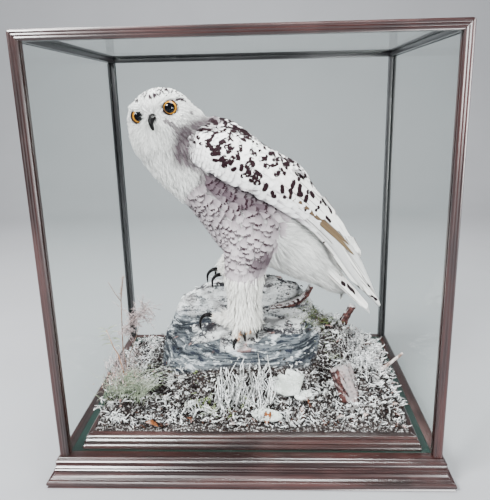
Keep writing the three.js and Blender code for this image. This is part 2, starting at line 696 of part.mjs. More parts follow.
const belowHead = bodySolid.intersect(halfSpace(NECK_TOP.point, away(NECK_TOP.normal)));
add(bird, 'neck', geometryOf(largest(belowHead.intersect(halfSpace(NECK_FOOT.point, NECK_FOOT.normal)))),
  PLUMAGE);
const trunk = largest(bodySolid.intersect(halfSpace(NECK_FOOT.point, away(NECK_FOOT.normal))));
add(bird, 'trunk', geometryOf(trunk), BARRED);

// Folded wing: a long shell between a lower and an upper edge, fullest behind the shoulder and
// thin towards the crossed tips. side is -1 for the bird's left wing and +1 for its right.
const WING_LOWER = [[-122, 46, 552], [-108, 72, 526], [-56, 95, 496], [20, 94, 456], [86, 79, 414],
  [146, 58, 352], [200, 36, 276], [264, 12, 203]];
const WING_UPPER = [[-120, 44, 556], [-96, 50, 582], [-40, 52, 583], [44, 50, 537], [110, 43, 476],
  [174, 30, 398], [222, 18, 312], [269, 10, 208]];

function wingShell(side, grow) {
  const edge = (points) => new THREE.CatmullRomCurve3(
    points.map(([x, y, z]) => new THREE.Vector3(x, side * y, z)),
  );
  const [lower, upper] = [edge(WING_LOWER), edge(WING_UPPER)];
  const [stations, across] = [14, 6];
  const outward = new THREE.Vector3(0.08, side, 0.12).normalize();
  return loft(Array.from({ length: stations + 1 }, (_, i) => {
    const t = 0.006 + (0.994 * i) / stations;
    const [low, high] = [lower.getPoint(t), upper.getPoint(t)];
    const bulge = mix(27, 5, smoothstep(0.1, 1, t)) * smoothstep(-0.12, 0.3, t);
    const depth = mix(44, 5, smoothstep(0.3, 0.72, t)) * smoothstep(-0.15, 0.25, t);
    const point = (s, offset) => low.clone().lerp(high, s).addScaledVector(outward, offset);
    const outer = Array.from({ length: across + 1 }, (__, j) => {
      const s = j / across;
      return point(s, 1.2 + grow + bulge * Math.sin(Math.PI * s) ** 0.8);
    });
    const inner = [0.75, 0.5, 0.25].map((s) => point(s, bulge - depth * Math.sin(Math.PI * s) - grow));
    return [...outer, point(1, -1.2 - grow), ...inner, point(0, -1.2 - grow)];
  }));
}

// Legs: a full barred thigh, a booted shank and four feathered toes with long curved claws.
const LEGS = [
  {
    side: 'left',
    hip: [-2, -44, 392],
    heel: [-20, -56, 308],
    ankle: [-20, -58, 214],
    toes: [
      { name: 'inner', tip: [-81, -26, 219], claw: [[-94, -22, 221], [-105, -17, 207], [-103, -11, 182]] },
      { name: 'middle', tip: [-41, -86, 194], claw: [[-45, -94, 194], [-47, -99, 188], [-46, -99, 180]] },
      { name: 'outer', tip: [-26, -80, 210], claw: [[-27, -87, 211], [-26, -91, 203], [-25, -92, 191]] },
      { name: 'hind', tip: [-11, -74, 210], claw: [[-7, -81, 211], [-3, -85, 203], [-2, -87, 190]] },
    ],
  },
  {
    side: 'right',
    hip: [-2, 44, 392],
    heel: [-6, 50, 336],
    ankle: [-30, 50, 294],
    toes: [
      { name: 'inner', tip: [-54, 34, 280], claw: [[-66, 32, 281], [-76, 30, 271], [-75, 29, 254]] },
      { name: 'middle', tip: [-60, 52, 286], claw: [[-72, 52, 287], [-84, 52, 277], [-84, 52, 257]] },
      { name: 'outer', tip: [-46, 78, 278], claw: [[-56, 84, 279], [-65, 88, 270], [-66, 90, 254]] },
      { name: 'hind', tip: [-4, 66, 278], claw: [[4, 72, 278], [10, 76, 269], [10, 78, 255]] },
    ],
  },
];

const birdToCase = new THREE.Matrix4().makeRotationZ(BIRD_TURN);
const groundForBird = groundCutter.transform(birdToCase.clone().invert().toArray());

function legField(leg) {
  return (p) => {
    let d = blend(
      limb(p, [leg.hip, 62], [leg.heel, 35]),
      limb(p, [leg.heel, 30], [leg.ankle, 24.5]),
      16,
    );
    for (const toe of leg.toes) d = blend(d, limb(p, [leg.ankle, 17], [toe.tip, 8.5]), 7);
    return d;
  };
}

function clawBar(toe, grow) {
  return taperedBar([toe.tip, ...toe.claw], (t) => mix(4.1, 0.9, t ** 1.2) + grow, { steps: 5, sides: 5 });
}

const THIGH_CELL = 21;
const FOOT_CELL = 12.5;
const legCutters = [];
for (const leg of LEGS) {
  const centre = [(leg.hip[0] + leg.ankle[0]) / 2, leg.hip[1], leg.ankle[2]];
  const box = [
    [centre[0] - 105, centre[1] - 85, leg.ankle[2] - 60],
    [centre[0] + 90, centre[1] + 85, leg.hip[2] + 75],
  ];
  const upper = solid(surfaceNet(legField(leg), ...box, THIGH_CELL)).subtract(bodyCutter);
  legCutters.push(solid(surfaceNet(legField(leg), ...box, THIGH_CELL, SKIN_GAP)));
  box[1][2] = leg.heel[2] + 20;
  let bare = solid(surfaceNet(legField(leg), ...box, FOOT_CELL)).subtract(bodyCutter)
    .subtract(groundForBird);
  for (const toe of leg.toes) {
    const claw = solid(clawBar(toe, 0)).subtract(groundForBird);
    const socket = halfSpace(toe.tip, toe.claw[0].map((v, i) => v - toe.tip[i]));
    add(bird, `claw_${leg.side}_${toe.name}`, geometryOf(largest(claw.intersect(socket))), HORN);
    bare = bare.subtract(solid(clawBar(toe, SKIN_GAP)));
  }
  const heelCut = [leg.heel[0], leg.heel[1], mix(leg.heel[2], leg.ankle[2], 0.25)];
  const ankleCut = [leg.ankle[0], leg.ankle[1], leg.ankle[2] + 12];
  add(bird, `thigh_${leg.side}`, geometryOf(largest(upper.intersect(halfSpace(heelCut, [0, 0, 1])))), BARRED);
  const shank = bare.intersect(halfSpace(heelCut, [0, 0, -1])).intersect(halfSpace(ankleCut, [0, 0, 1]));
  add(bird, `shank_${leg.side}`, geometryOf(largest(shank)), PLUMAGE);
  add(bird, `foot_${leg.side}`, geometryOf(largest(bare.intersect(halfSpace(ankleCut, [0, 0, -1])))), PLUMAGE);
}

// Wings lie on the body; each is parted into its covert-feathered front and its long flight feathers.
const WING_PART = { point: [84, 0, 430], normal: [0.74, 0, -0.67] };
const wingCutters = [];
for (const [name, side] of [['left', -1], ['right', 1]]) {
  const shell = largest(solid(wingShell(side, 0)).subtract(bodyCutter).subtract(legCutters[(side + 1) / 2]));
  const front = shell.intersect(halfSpace(WING_PART.point, away(WING_PART.normal)));
  const rear = shell.intersect(halfSpace(WING_PART.point, WING_PART.normal));
  add(bird, `wing_${name}`, geometryOf(largest(front)), SPOTTED);
  add(bird, `flight_feathers_${name}`, geometryOf(largest(rear)), SPOTTED);
  wingCutters.push(solid(wingShell(side, SKIN_GAP)));
}

// Tail: a fan of twelve feathers under the wing tips, folded like a low roof.
function tailFan() {
  const steps = 6;
  return loft(Array.from({ length: steps + 1 }, (_, i) => {
    const t = i / steps;
    const centre = new THREE.Vector3(mix(106, 242, t), 0, mix(358, 206, t));
    const [half, thick] = [mix(32, 40, t), mix(11, 2.2, t)];
    return Array.from({ length: 10 }, (__, j) => {
      const angle = (2 * Math.PI * j) / 10;
      const droop = -mix(22, 8, t) * Math.cos(angle) ** 2;
      return centre.clone().add(new THREE.Vector3(
        (thick * Math.sin(angle) + droop) * 0.67,
        half * Math.cos(angle),
        (thick * Math.sin(angle) + droop) * 0.74,
      ));
    });
  }));
}
let tail = solid(tailFan()).subtract(bodyCutter);
for (const cutter of wingCutters) tail = tail.subtract(cutter);
add(bird, 'tail', geometryOf(largest(tail)), PLUMAGE);

export default object;
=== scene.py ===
# A mounted snowy owl on frosted rockwork, sealed in a glazed mahogany table case.
# Metres, +Z up, +X to the right of the glazed front and +Y to the back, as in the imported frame.
import math
from contextlib import contextmanager

import bmesh
import bpy
import numpy as np
from mathutils import Euler, Matrix, Vector
from mathutils.bvhtree import BVHTree
from mathutils.kdtree import KDTree
from mathutils.noise import fractal


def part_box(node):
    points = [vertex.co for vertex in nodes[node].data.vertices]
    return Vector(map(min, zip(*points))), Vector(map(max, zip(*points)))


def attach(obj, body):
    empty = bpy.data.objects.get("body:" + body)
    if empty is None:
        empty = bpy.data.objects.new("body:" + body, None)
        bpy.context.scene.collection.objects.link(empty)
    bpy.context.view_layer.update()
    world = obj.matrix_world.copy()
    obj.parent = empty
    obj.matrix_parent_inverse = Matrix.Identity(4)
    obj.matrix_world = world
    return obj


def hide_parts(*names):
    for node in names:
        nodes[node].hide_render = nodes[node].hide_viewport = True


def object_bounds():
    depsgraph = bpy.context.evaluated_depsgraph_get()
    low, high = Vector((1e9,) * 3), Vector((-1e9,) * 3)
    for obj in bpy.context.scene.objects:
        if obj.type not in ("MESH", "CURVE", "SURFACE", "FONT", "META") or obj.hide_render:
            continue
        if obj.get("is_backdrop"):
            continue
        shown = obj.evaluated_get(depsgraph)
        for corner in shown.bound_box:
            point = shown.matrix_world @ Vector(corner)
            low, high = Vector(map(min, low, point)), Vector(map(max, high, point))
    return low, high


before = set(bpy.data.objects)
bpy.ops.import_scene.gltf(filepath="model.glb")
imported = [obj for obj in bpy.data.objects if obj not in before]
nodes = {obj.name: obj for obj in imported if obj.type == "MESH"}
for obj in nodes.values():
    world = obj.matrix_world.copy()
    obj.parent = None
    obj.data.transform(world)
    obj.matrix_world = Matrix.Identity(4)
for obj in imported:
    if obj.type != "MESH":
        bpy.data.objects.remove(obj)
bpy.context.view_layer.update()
MM = 0.001

# ---------------------------------------------------------------- camera
# A person stands close to the table and looks slightly down through the front glass, with the
# lens held a touch off level.
STANDPOINT = Vector((0.0455, -0.9287, 0.6275))
TURN_LEFT, LOOK_DOWN, TILT = math.radians(2.19), math.radians(13.29), math.radians(-1.2)
FOCAL_LENGTH = 35.45
FRAME_SHIFT = (-0.0191, -0.0676)
NEAREST = 0.05


def placed(name, data):
    """A new object in the scene."""
    thing = bpy.data.objects.new(name, data)
    bpy.context.scene.collection.objects.link(thing)
    return thing


camera = placed("camera", bpy.data.cameras.new("camera"))
bpy.context.scene.camera = camera
camera.data.lens = FOCAL_LENGTH
camera.data.shift_x, camera.data.shift_y = FRAME_SHIFT
camera.data.clip_start = NEAREST
forward = Vector((
    -math.sin(TURN_LEFT) * math.cos(LOOK_DOWN),
    math.cos(TURN_LEFT) * math.cos(LOOK_DOWN),
    -math.sin(LOOK_DOWN),
))
level = forward.cross(Vector((0, 0, 1))).normalized()
upward = level.cross(forward)
right_hand = level * math.cos(TILT) + upward * math.sin(TILT)
overhead = upward * math.cos(TILT) - level * math.sin(TILT)
camera.matrix_world = Matrix((right_hand, overhead, -forward)).transposed().to_4x4()
camera.location = STANDPOINT

# ---------------------------------------------------------------- floor, backdrop and lights
# A pale matt studio sweep: a floor that curves up into a wall behind the case, lit by large soft
# panels from the upper left, the right and above.


class Wire:
    """A shader socket. Sums on it add Math nodes, and add() puts in any other kind of node."""

    def __init__(self, tree, socket):
        self.tree, self.socket = tree, socket

    def add(self, kind, settings, sockets, output=0):
        node = self.tree.nodes.new("ShaderNode" + kind)
        for name, value in settings.items():
            setattr(node, name, value)
        for name, value in sockets.items():
            target = node.inputs[name]
            if isinstance(value, Wire):
                self.tree.links.new(value.socket, target)
            elif target.type == "RGBA":
                target.default_value = (*value, 1)
            else:
                target.default_value = value
        return Wire(self.tree, node.outputs[output])

    def sum(self, operation, *values):
        return self.add("Math", {"operation": operation}, dict(enumerate(values)))

    def __add__(self, other):
        return self.sum("ADD", self, other)

    def __sub__(self, other):
        return self.sum("SUBTRACT", self, other)

    def __rsub__(self, other):
        return self.sum("SUBTRACT", other, self)

    def __mul__(self, other):
        return self.sum("MULTIPLY", self, other)

    def __pow__(self, other):
        return self.sum("POWER", self, other)

    def __gt__(self, other):
        return self.sum("GREATER_THAN", self, other)

    __radd__ = __add__
    __rmul__ = __mul__

    def step(self, low, high):
        """0 below low, 1 above high, and a smooth rise between them."""
        return self.add("MapRange", {"interpolation_type": "SMOOTHSTEP"}, {
            "Value": self, "From Min": low, "From Max": high,
        })

    def between(self, first, second):
        """The first colour where this mask is 0, the second where it is 1."""
        return self.add("Mix", {"data_type": "RGBA"}, {0: self, 6: first, 7: second}, 2)

    def deepened(self):
        """The same mask, but quicker to rise at its faint end."""
        return self * 2 - self * self

    def stretched(self, x, y, z):
        """A place scaled differently along each axis, for grain, strata and streaks."""
        return self.add("VectorMath", {"operation": "MULTIPLY"}, {0: self, 1: (x, y, z)})

    def noise(self, scale, detail=3, roughness=0.55):
        return self.add("TexNoise", {}, {
            "Vector": self, "Scale": scale, "Detail": detail, "Roughness": roughness,
        })

    def bumps(self, strength, distance):
        return self.add("Bump", {}, {"Height": self, "Strength": strength, "Distance": distance})

    def parts(self):
        """The three numbers that this socket carries."""
        return [self.add("SeparateXYZ", {}, {"Vector": self}, i) for i in range(3)]

    def kept(self, name):
        """The three numbers kept under a name for each point of the mesh."""
        return self.add("Attribute", {"attribute_name": name}, {}, 1)

    def facing_up(self):
        """1 where the surface faces up, and less as it leans over."""
        return self.add("NewGeometry", {}, {}, 1).parts()[2]


def new_material(name):
    """A material with an empty node tree, and the place on the surface as a first wire."""
    material = bpy.data.materials.new(name)
    material.use_nodes = True
    material.node_tree.nodes.clear()
    start = Wire(material.node_tree, None)
    return material, start.add("TexCoord", {}, {}, 3)


def surface(material, shader):
    output = shader.tree.nodes.new("ShaderNodeOutputMaterial")
    shader.tree.links.new(shader.socket, output.inputs["Surface"])
    return material


def principled(material, place, sockets):
    return surface(material, place.add("BsdfPrincipled", {}, sockets))


def covered(mesh, material):
    """Gives a mesh one material, and smooth shading."""
    mesh.materials.append(material)
    mesh.shade_smooth()


def mesh_object(name, points, faces, material):
    """A mesh piece from arrays of points and of faces, with one material."""
    mesh = bpy.data.meshes.new(name)
    mesh.from_pydata([tuple(p) for p in points], [], [tuple(f) for f in faces])
    covered(mesh, material)
    return placed(name, mesh)


SWEEP = {"half": 3.2, "front": -3.0, "back": 1.7, "radius": 0.9, "wall": 3.2, "below": 0.0006,
         "bends": 12}
SWEEP_GREY = (0.20, 0.205, 0.215)

sweep_paint, place = new_material("studio_sweep")
cloudy = place.noise(3, 4).step(0.3, 0.7)
principled(sweep_paint, place, {
    "Base Color": cloudy.between(SWEEP_GREY, tuple(0.96 * v for v in SWEEP_GREY)),
    "Roughness": 0.9,
    "Normal": place.noise(220, 2).bumps(0.05, 0.001),
})
profile = [(SWEEP["front"], -SWEEP["below"])]
for i in range(SWEEP["bends"] + 1):
    bend = math.pi / 2 * i / SWEEP["bends"]
    profile.append((
        SWEEP["back"] + SWEEP["radius"] * math.sin(bend),
        SWEEP["radius"] * (1 - math.cos(bend)) - SWEEP["below"],
    ))
profile.append((SWEEP["back"] + SWEEP["radius"], SWEEP["wall"]))
sweep = mesh_object(
    "studio_sweep",
    [(x, y, z) for y, z in profile for x in (-SWEEP["half"], SWEEP["half"])],
    [(2 * i, 2 * i + 1, 2 * i + 3, 2 * i + 2) for i in range(len(profile) - 1)],
    sweep_paint,
)
sweep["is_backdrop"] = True

SOFT_PANELS = {
    "key": ((-1.7, -1.5, 2.3), (1.2, 1.0), 400),
    "fill": ((1.7, -1.9, 0.7), (1.4, 1.0), 150),
    "top": ((0.1, 0.2, 2.4), (1.4, 1.1), 190),
}
AIM = Vector((0, 0, 0.36))
ROOM_GLOW, GLOW_POWER = (0.80, 0.86, 0.95, 1), 0.22
for name, (position, size, power) in SOFT_PANELS.items():
    panel = placed(name, bpy.data.lights.new(name, "AREA"))
    panel.data.shape = "RECTANGLE"
    panel.data.size, panel.data.size_y = size
    panel.data.energy = power
    panel.location = position
    panel.rotation_euler = (AIM - Vector(position)).to_track_quat("-Z", "Y").to_euler()
world = bpy.data.worlds.new("studio")
bpy.context.scene.world = world
world.use_nodes = True
room_light = world.node_tree.nodes["Background"].inputs
room_light["Color"].default_value = ROOM_GLOW
room_light["Strength"].default_value = GLOW_POWER

# ---------------------------------------------------------------- plinth, frame and tray mouldings
# French-polished mahogany, run as reeded and beaded mouldings and mitred at the corners. The
# arrises are softened by sanding and catch the light; the bars at the back and sides are ebonised.
SAME_PLACE, SAME_PLANE = 2e-6, math.radians(0.5)
EASED = {"plinth": 0.8 * MM, "tray": 0.6 * MM, "post": 0.55 * MM, "top_rail": 0.55 * MM}


@contextmanager
def edited(mesh):
    """Opens a mesh as a form whose points and edges can be edited, and then puts it back."""
    form = bmesh.new()
    form.from_mesh(mesh)
    yield form
    form.to_mesh(mesh)
    form.free()


def welded_copy(name, *sources):
    """One new mesh from copies of CAD nodes, with split corners joined and flat facets merged."""
    mesh = bpy.data.meshes.new(name)
    with edited(mesh) as form:
        for source in sources:
            form.from_mesh(nodes[source].data)
        bmesh.ops.remove_doubles(form, verts=form.verts, dist=SAME_PLACE)
        bmesh.ops.dissolve_limit(
            form, angle_limit=SAME_PLANE, verts=form.verts, edges=form.edges
        )
    return placed(name, mesh)


def fix(piece, slot, *replaced):
    """Rides on the case and stands for its CAD nodes. The slot is not used."""
    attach(piece, "root")
    if replaced:
        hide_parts(*replaced)


def mahogany(name, along, dark, light):
    """Polished wood with its grain along one axis, darker in its pores where the stain gathers."""
    material, place = new_material(name)
    stretch = [55.0, 55.0, 55.0]
    stretch[along] = 4.0
    grain = place.stretched(*stretch)
    figure = grain.noise(1.0, 5, 0.6)
    pores = grain.noise(5.5, 2).step(0.55, 0.75)
    streaks = figure.step(0.36, 0.66)
    worn = place.noise(9, 3).step(0.52, 0.7)
    colour = streaks.between(dark, light)
    colour = (pores * 0.5).between(colour, tuple(0.35 * v for v in dark))
    colour = (worn * 0.25).between(colour, tuple(min(1, 1.8 * v) for v in light))
    return principled(material, place, {
        "Base Color": colour,
        "Roughness": 0.24 + 0.16 * figure + 0.1 * worn,
        "Coat Weight": 0.42,
        "Coat Roughness": 0.14,
        "Normal": (figure * 0.6 + pores * -0.4).bumps(0.16, 0.0004),
    })


WOOD_SHADES = {
    "mahogany": ((0.007, 0.0022, 0.0022), (0.030, 0.0085, 0.0075)),
    "ebonised": ((0.004, 0.0035, 0.0045), (0.014, 0.012, 0.014)),
}
polished, ebonised = (
    [mahogany(f"{name}_{'xyz'[i]}", i, *shades) for i in range(3)]
    for name, shades in WOOD_SHADES.items()
)
for node in sorted(nodes):
    kind = next((k for k in EASED if node.startswith(k + "_")), None)
    if kind is None:
        continue
    low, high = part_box(node)
    along = max(range(3), key=lambda axis: high[axis] - low[axis])
    dull = kind in ("post", "top_rail") and "front" not in node
    moulding = welded_copy(node + "_moulding", node)
    covered(moulding.data, (ebonised if dull else polished)[along])
    eased = moulding.modifiers.new("eased", "BEVEL")
    eased.width, eased.segments = EASED[kind], 3
    eased.limit_method, eased.angle_limit = "ANGLE", math.radians(12)
    eased.harden_normals = True
    fix(moulding, "dark_wood" if dull else "mahogany", node)

# ---------------------------------------------------------------- floor and base boards
# The floor of the case is pine painted dark green, with patches of dust; the board that
# closes the plinth below is plain stained pine.
paint, place = new_material("green_floor_paint")
brushed = place.stretched(10, 90, 10).noise(1.0, 4)
dusty = place.noise(26, 4).step(0.5, 0.8)
principled(paint, place, {
    "Base Color": (dusty * 0.35).between((0.002, 0.012, 0.009), (0.016, 0.030, 0.026)),
    "Roughness": 0.38 + 0.3 * dusty,
    "Normal": brushed.bumps(0.2, 0.0004),
})
pine, place = new_material("stained_pine")
rings = place.stretched(6, 70, 30).noise(1.0, 4)
principled(pine, place, {
    "Base Color": rings.step(0.35, 0.65).between((0.055, 0.034, 0.022), (0.13, 0.085, 0.052)),
    "Roughness": 0.75,
    "Normal": rings.bumps(0.3, 0.0005),
})


def finish_node(name, material):
    """Gives a CAD node, which is shown as it is, its own material."""
    nodes[name].data.materials.clear()
    nodes[name].data.materials.append(material)


finish_node("floor_board", paint)
finish_node("base_board", pine)

# ---------------------------------------------------------------- panes
# Thin clear sheet glass in the grooves of the bars: it shows only by its faint gloss and the
# slight waviness of old drawn sheet.
pane_glass, place = new_material("sheet_glass")
ripple = place.stretched(1, 1, 0.35).noise(9, 1).bumps(0.02, 0.002)
glancing = place.add("LayerWeight", {}, {"Blend": 0.5}, 1)
shine = 0.003 + 0.30 * glancing**5.0
clear = place.add("BsdfTransparent", {}, {"Color": (0.955, 0.972, 0.966)})
gloss = place.add("BsdfAnisotropic", {}, {"Roughness": 0.02, "Normal": ripple})
surface(pane_glass, place.add("MixShader", {}, {0: shine, 1: clear, 2: gloss}))
for side in ("front", "back", "left", "right", "roof"):
    finish_node(f"glass_{side}", pane_glass)

# ---------------------------------------------------------------- rockwork
# The groundwork is a papier-mache boulder with ledges, painted blue-grey and white, on a bed of
# dark litter that fills the tray. The real surface is built over the CAD block's own heights.
GROUND_CELL, RIM_CELLS, SINK = 2.6 * MM, 6, 0.6 * MM
ledge = nodes["groundwork"].data
ground_tree = BVHTree.FromPolygons(
    [point.co for point in ledge.vertices], [face.vertices[:] for face in ledge.polygons]
)
low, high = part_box("groundwork")
columns, rows = (int((high[i] - low[i]) / GROUND_CELL) for i in range(2))
INSET = 0.4 * MM


def rising(values, low, high):
    """0 below low, 1 above high, and a smooth rise between them."""
    share = np.clip((values - low) / (high - low), 0, 1)
    return share * share * (3 - 2 * share)


def put(mesh, name, values):
    """Keeps three numbers for each point of a mesh, for its material to read."""
    mesh.attributes.new(name, "FLOAT_VECTOR", "POINT").data.foreach_set(
        "vector", np.ascontiguousarray(values, np.float32).ravel()
    )


def ground_at(x, y):
    """The height and slope of the CAD groundwork under a place."""
    x = min(max(x, low[0] + INSET), high[0] - INSET)
    y = min(max(y, low[1] + INSET), high[1] - INSET)
    spot, normal, _, _ = ground_tree.ray_cast(Vector((x, y, 1)), Vector((0, 0, -1)))
    return spot, normal


def boulder_share(x, y):
    """1 on the boulder and its back slab, 0 on the bed of litter round it."""
    reach = 0.134 if y < 0.017 else 0.088
    around = (abs((x + 0.022) / 0.172) ** 3 + abs((y - 0.017) / reach) ** 3) ** (1 / 3)
    return 1 - rising(around, 0.84, 1.02)


points, zones = [], []
for j in range(rows + 1):
    for i in range(columns + 1):
        x = low[0] + INSET + (high[0] - low[0] - 2 * INSET) * i / columns
        y = low[1] + INSET + (high[1] - low[1] - 2 * INSET) * j / rows
        spot, normal = ground_at(x, y)
        rim = min(i, j, columns - i, rows - j) / RIM_CELLS
        rock = boulder_share(x, y)
        coarse = fractal(Vector((x, y, spot.z * 1.6)) * 34, 0.9, 2.1, 4)
        layers = fractal(Vector((x * 9, y * 9, spot.z * 120)), 0.8, 2.0, 3)
        lumps = fractal(Vector((x, y, 0.3)) * 150, 0.7, 2.0, 3)
        rise = rock * (2.2 * coarse + 2.0 * layers) + (1 - rock) * (2.6 * coarse + 2.4 * lumps)
        points.append(spot + normal * rise * MM * min(1, rim) - Vector((0, 0, SINK)))
        flat = rising(normal.z, 0.72, 0.93)
        zones.append((rock, flat, rising(spot.z, 0.172, 0.212)))
grid = np.arange((rows + 1) * (columns + 1)).reshape(rows + 1, columns + 1).tolist()
faces = [
    (grid[j][i], grid[j][i + 1], grid[j + 1][i + 1], grid[j + 1][i])
    for j in range(rows) for i in range(columns)
]
border = grid[0][:columns] + [row[columns] for row in grid[:rows]]
border += grid[rows][:0:-1] + [row[0] for row in grid[:0:-1]]
foot = len(points)
for index in border:
    points.append(Vector((points[index].x, points[index].y, low[2] + INSET)))
    zones.append((0, 0, 0))
for step in range(len(border)):
    following = (step + 1) % len(border)
    faces.append((border[step], foot + step, foot + following, border[following]))
faces.append(tuple(range(foot + len(border) - 1, foot - 1, -1)))

rock_paint, place = new_material("painted_rockwork")
rock, flat, high_up = place.kept("zone").parts()
strata = place.stretched(16, 16, 210).noise(1.0, 5, 0.65)
cracks = place.stretched(30, 30, 120).noise(1.0, 5, 0.7)
frost = place.noise(240, 4, 0.75)
speckle = place.noise(520, 3, 0.7)
blotches = place.noise(30, 4)
blue_rock = strata.step(0.42, 0.60).between((0.010, 0.012, 0.016), (0.10, 0.108, 0.12))
blue_rock = (cracks.step(0.52, 0.63) * 0.85).between(blue_rock, (0.46, 0.47, 0.50))
blue_rock = cracks.step(0.45, 0.38).between(blue_rock, (0.008, 0.010, 0.018))
streaks = place.stretched(26, 26, 90).noise(1.0, 5, 0.75)
top_rock = (frost * 0.3 + streaks * 0.7).step(0.45, 0.53)
top_rock = top_rock.between((0.018, 0.016, 0.020), (0.66, 0.65, 0.66))
top_rock = (blotches.step(0.50, 0.62) * 0.6).between(top_rock, (0.12, 0.108, 0.112))
rocky = (flat * 0.62 + high_up * 0.62 + 0.5 * (blotches - 0.5)).step(0.42, 0.72).between(
    blue_rock, top_rock
)
pinkish = place.noise(24, 3).step(0.60, 0.70) * flat * 0.5
rocky = pinkish.between(rocky, (0.42, 0.20, 0.17))
litter = frost.step(0.52, 0.62).between((0.008, 0.005, 0.005), (0.34, 0.32, 0.32))
litter = (speckle.step(0.58, 0.66) * 0.7).between(litter, (0.07, 0.032, 0.020))
colour = (rock + 0.25 * (frost - 0.5)).step(0.35, 0.65).between(litter, rocky)
principled(rock_paint, place, {
    "Base Color": colour,
    "Roughness": 0.72 + 0.2 * frost,
    "Specular IOR Level": 0.15,
    "Normal": (frost * 0.5 + cracks * 0.7 + speckle * 0.2).bumps(0.75, 0.0022),
})
rockwork = mesh_object("rockwork", points, faces, rock_paint)
put(rockwork.data, "zone", zones)
fix(rockwork, "rockwork", "groundwork")

# ---------------------------------------------------------------- lichen, moss and dried plants
# The litter is covered with curled reindeer lichen and moss dipped in white paint. Dried heather,
# grass and sprigs are stuck in at the left, and more lichen and fern at the right.
dice = np.random.default_rng(11)


def unit(vectors):
    """Vectors in the same directions, one long."""
    return vectors / np.maximum(np.linalg.norm(vectors, axis=-1, keepdims=True), 1e-9)


def bed_at(x, y):
    """A place on the groundwork. This and all the plants' sizes are in mm."""
    return np.array(ground_at(x * MM, y * MM)[0]) / MM


def blend(first, second, share):
    """The first where the share is 0, the second where it is 1."""
    return first * (1 - share) + second * share


def tube(first, rings, around):
    """The faces of a tube: rings of points, each ring joined to the next all the way round."""
    corners = [
        (first + k * around + s, first + k * around + (s + 1) % around)
        for k in range(rings - 1) for s in range(around)
    ]
    return [(a, b, b + around, a + around) for a, b in corners]


LOW_X, LOW_Y, HIGH_X, HIGH_Y = low[0] + 0.004, low[1] + 0.003, high[0] - 0.004, high[1] - 0.004
NEAR_GLASS, LAST_BIT = 0.296, 0.012  # plants that reach past this bend back from the side panes


class Sprigs:
    """Thin tapered stems and curls, gathered into one joined mesh with a tint for each."""

    def __init__(self):
        self.points, self.faces, self.tints = [], [], []

    def stem(self, line, thick, thin, tint, sides=3, flat=1.0):
        line = np.asarray(line, float)
        ways = unit(np.gradient(line, axis=0))
        side = unit(np.cross(ways, (0.31, 0.17, 0.93)))
        other = np.cross(ways, side)
        radii = np.linspace(thick, thin, len(line))[:, None]
        first = len(self.points)
        for k in range(len(line)):
            for s in range(sides):
                angle = math.tau * s / sides
                offset = side[k] * math.cos(angle) + other[k] * math.sin(angle) * flat
                self.points.append((line[k] + offset * radii[k]) * MM)
                self.tints.append(tint)
        self.faces += tube(first, len(line), sides)
        last = first + (len(line) - 1) * sides
        self.faces.append(tuple(range(first, first + sides))[::-1])
        self.faces.append(tuple(range(last, last + sides)))

    def curl(self, root, up, length, thick, tint, bend=1.6, sides=3):
        """A stem that rises from its root and curls over to one side."""
        heading = dice.uniform(0, math.tau)
        out = np.array([math.cos(heading), math.sin(heading), 0])
        line, place, angle = [np.array(root, float)], np.array(root, float), 0
        for _ in range(4):
            step = np.array(up) * math.cos(angle) + out * math.sin(angle)
            place = place + step * length / 4
            line.append(place)
            angle += bend / 4 * dice.uniform(0.6, 1.5)
        self.stem(line, thick, thick * 0.45, tint, sides)

    def leaf(self, root, way, length, width, tint):
        """A thin pointed leaf with a fold down its middle."""
        root, way = np.array(root, float), unit(np.array(way, float))
        side = unit(np.cross(way, (0, 0, 1) if abs(way[2]) < 0.9 else (0, 1, 0)))
        up = np.cross(side, way)
        first = len(self.points)
        for share, wide in ((0, 0.15), (0.3, 0.9), (0.6, 1.0), (0.85, 0.6), (1, 0.05)):
            spine = root + way * share * length + up * length * 0.22 * math.sin(2.6 * share)
            for across, lift in ((-1, 0.35), (0, 0), (1, 0.35), (0, -0.12)):
                point = spine + side * across * wide * width / 2 + up * lift * wide * width / 2
                self.points.append(point * MM)
                self.tints.append(tint)
        self.faces += tube(first, 5, 4)

    def finish(self, name, material, slot):
        points = np.array([tuple(point) for point in self.points])
        past = np.maximum(np.abs(points[:, 0]) - NEAR_GLASS, 0)
        points[:, 0] -= np.sign(points[:, 0]) * (past - LAST_BIT * np.tanh(past / LAST_BIT))
        piece = mesh_object(name, points, self.faces, material)
        put(piece.data, "tint", self.tints)
        fix(piece, slot)


def plant_material(name, frosting, coat_colour):
    """Dried plant stuff in its own tint, dusted from above with paint or frost."""
    material, place = new_material(name)
    tint = place.kept("tint")
    mottled = place.noise(420, 3)
    up = place.facing_up()
    drifts = place.noise(34, 3).step(0.44, 0.54)
    dusted = (up * 0.45 + mottled).step(0.55, 0.85) * drifts * frosting
    colour = mottled.step(0.3, 0.7).between((0.40, 0.40, 0.40), (1.0, 1.0, 1.0))
    colour = place.add("Mix", {"data_type": "RGBA", "blend_type": "MULTIPLY"}, {
        0: 1.0, 6: tint, 7: colour,
    }, 2)
    return principled(material, place, {
        "Base Color": dusted.between(colour, coat_colour),
        "Roughness": 0.8,
        "Specular IOR Level": 0.1,
        "Normal": mottled.bumps(0.5, 0.0006),
    })


lichen_skin = plant_material("frosted_lichen", 0.7, (0.86, 0.85, 0.87))
dry_skin = plant_material("dried_plant", 0.45, (0.66, 0.60, 0.60))
PALE, GREY, PINK = (0.74, 0.72, 0.72), (0.20, 0.19, 0.195), (0.42, 0.24, 0.22)
GREEN, BROWN, DARK = (0.17, 0.21, 0.075), (0.075, 0.032, 0.022), (0.012, 0.007, 0.007)

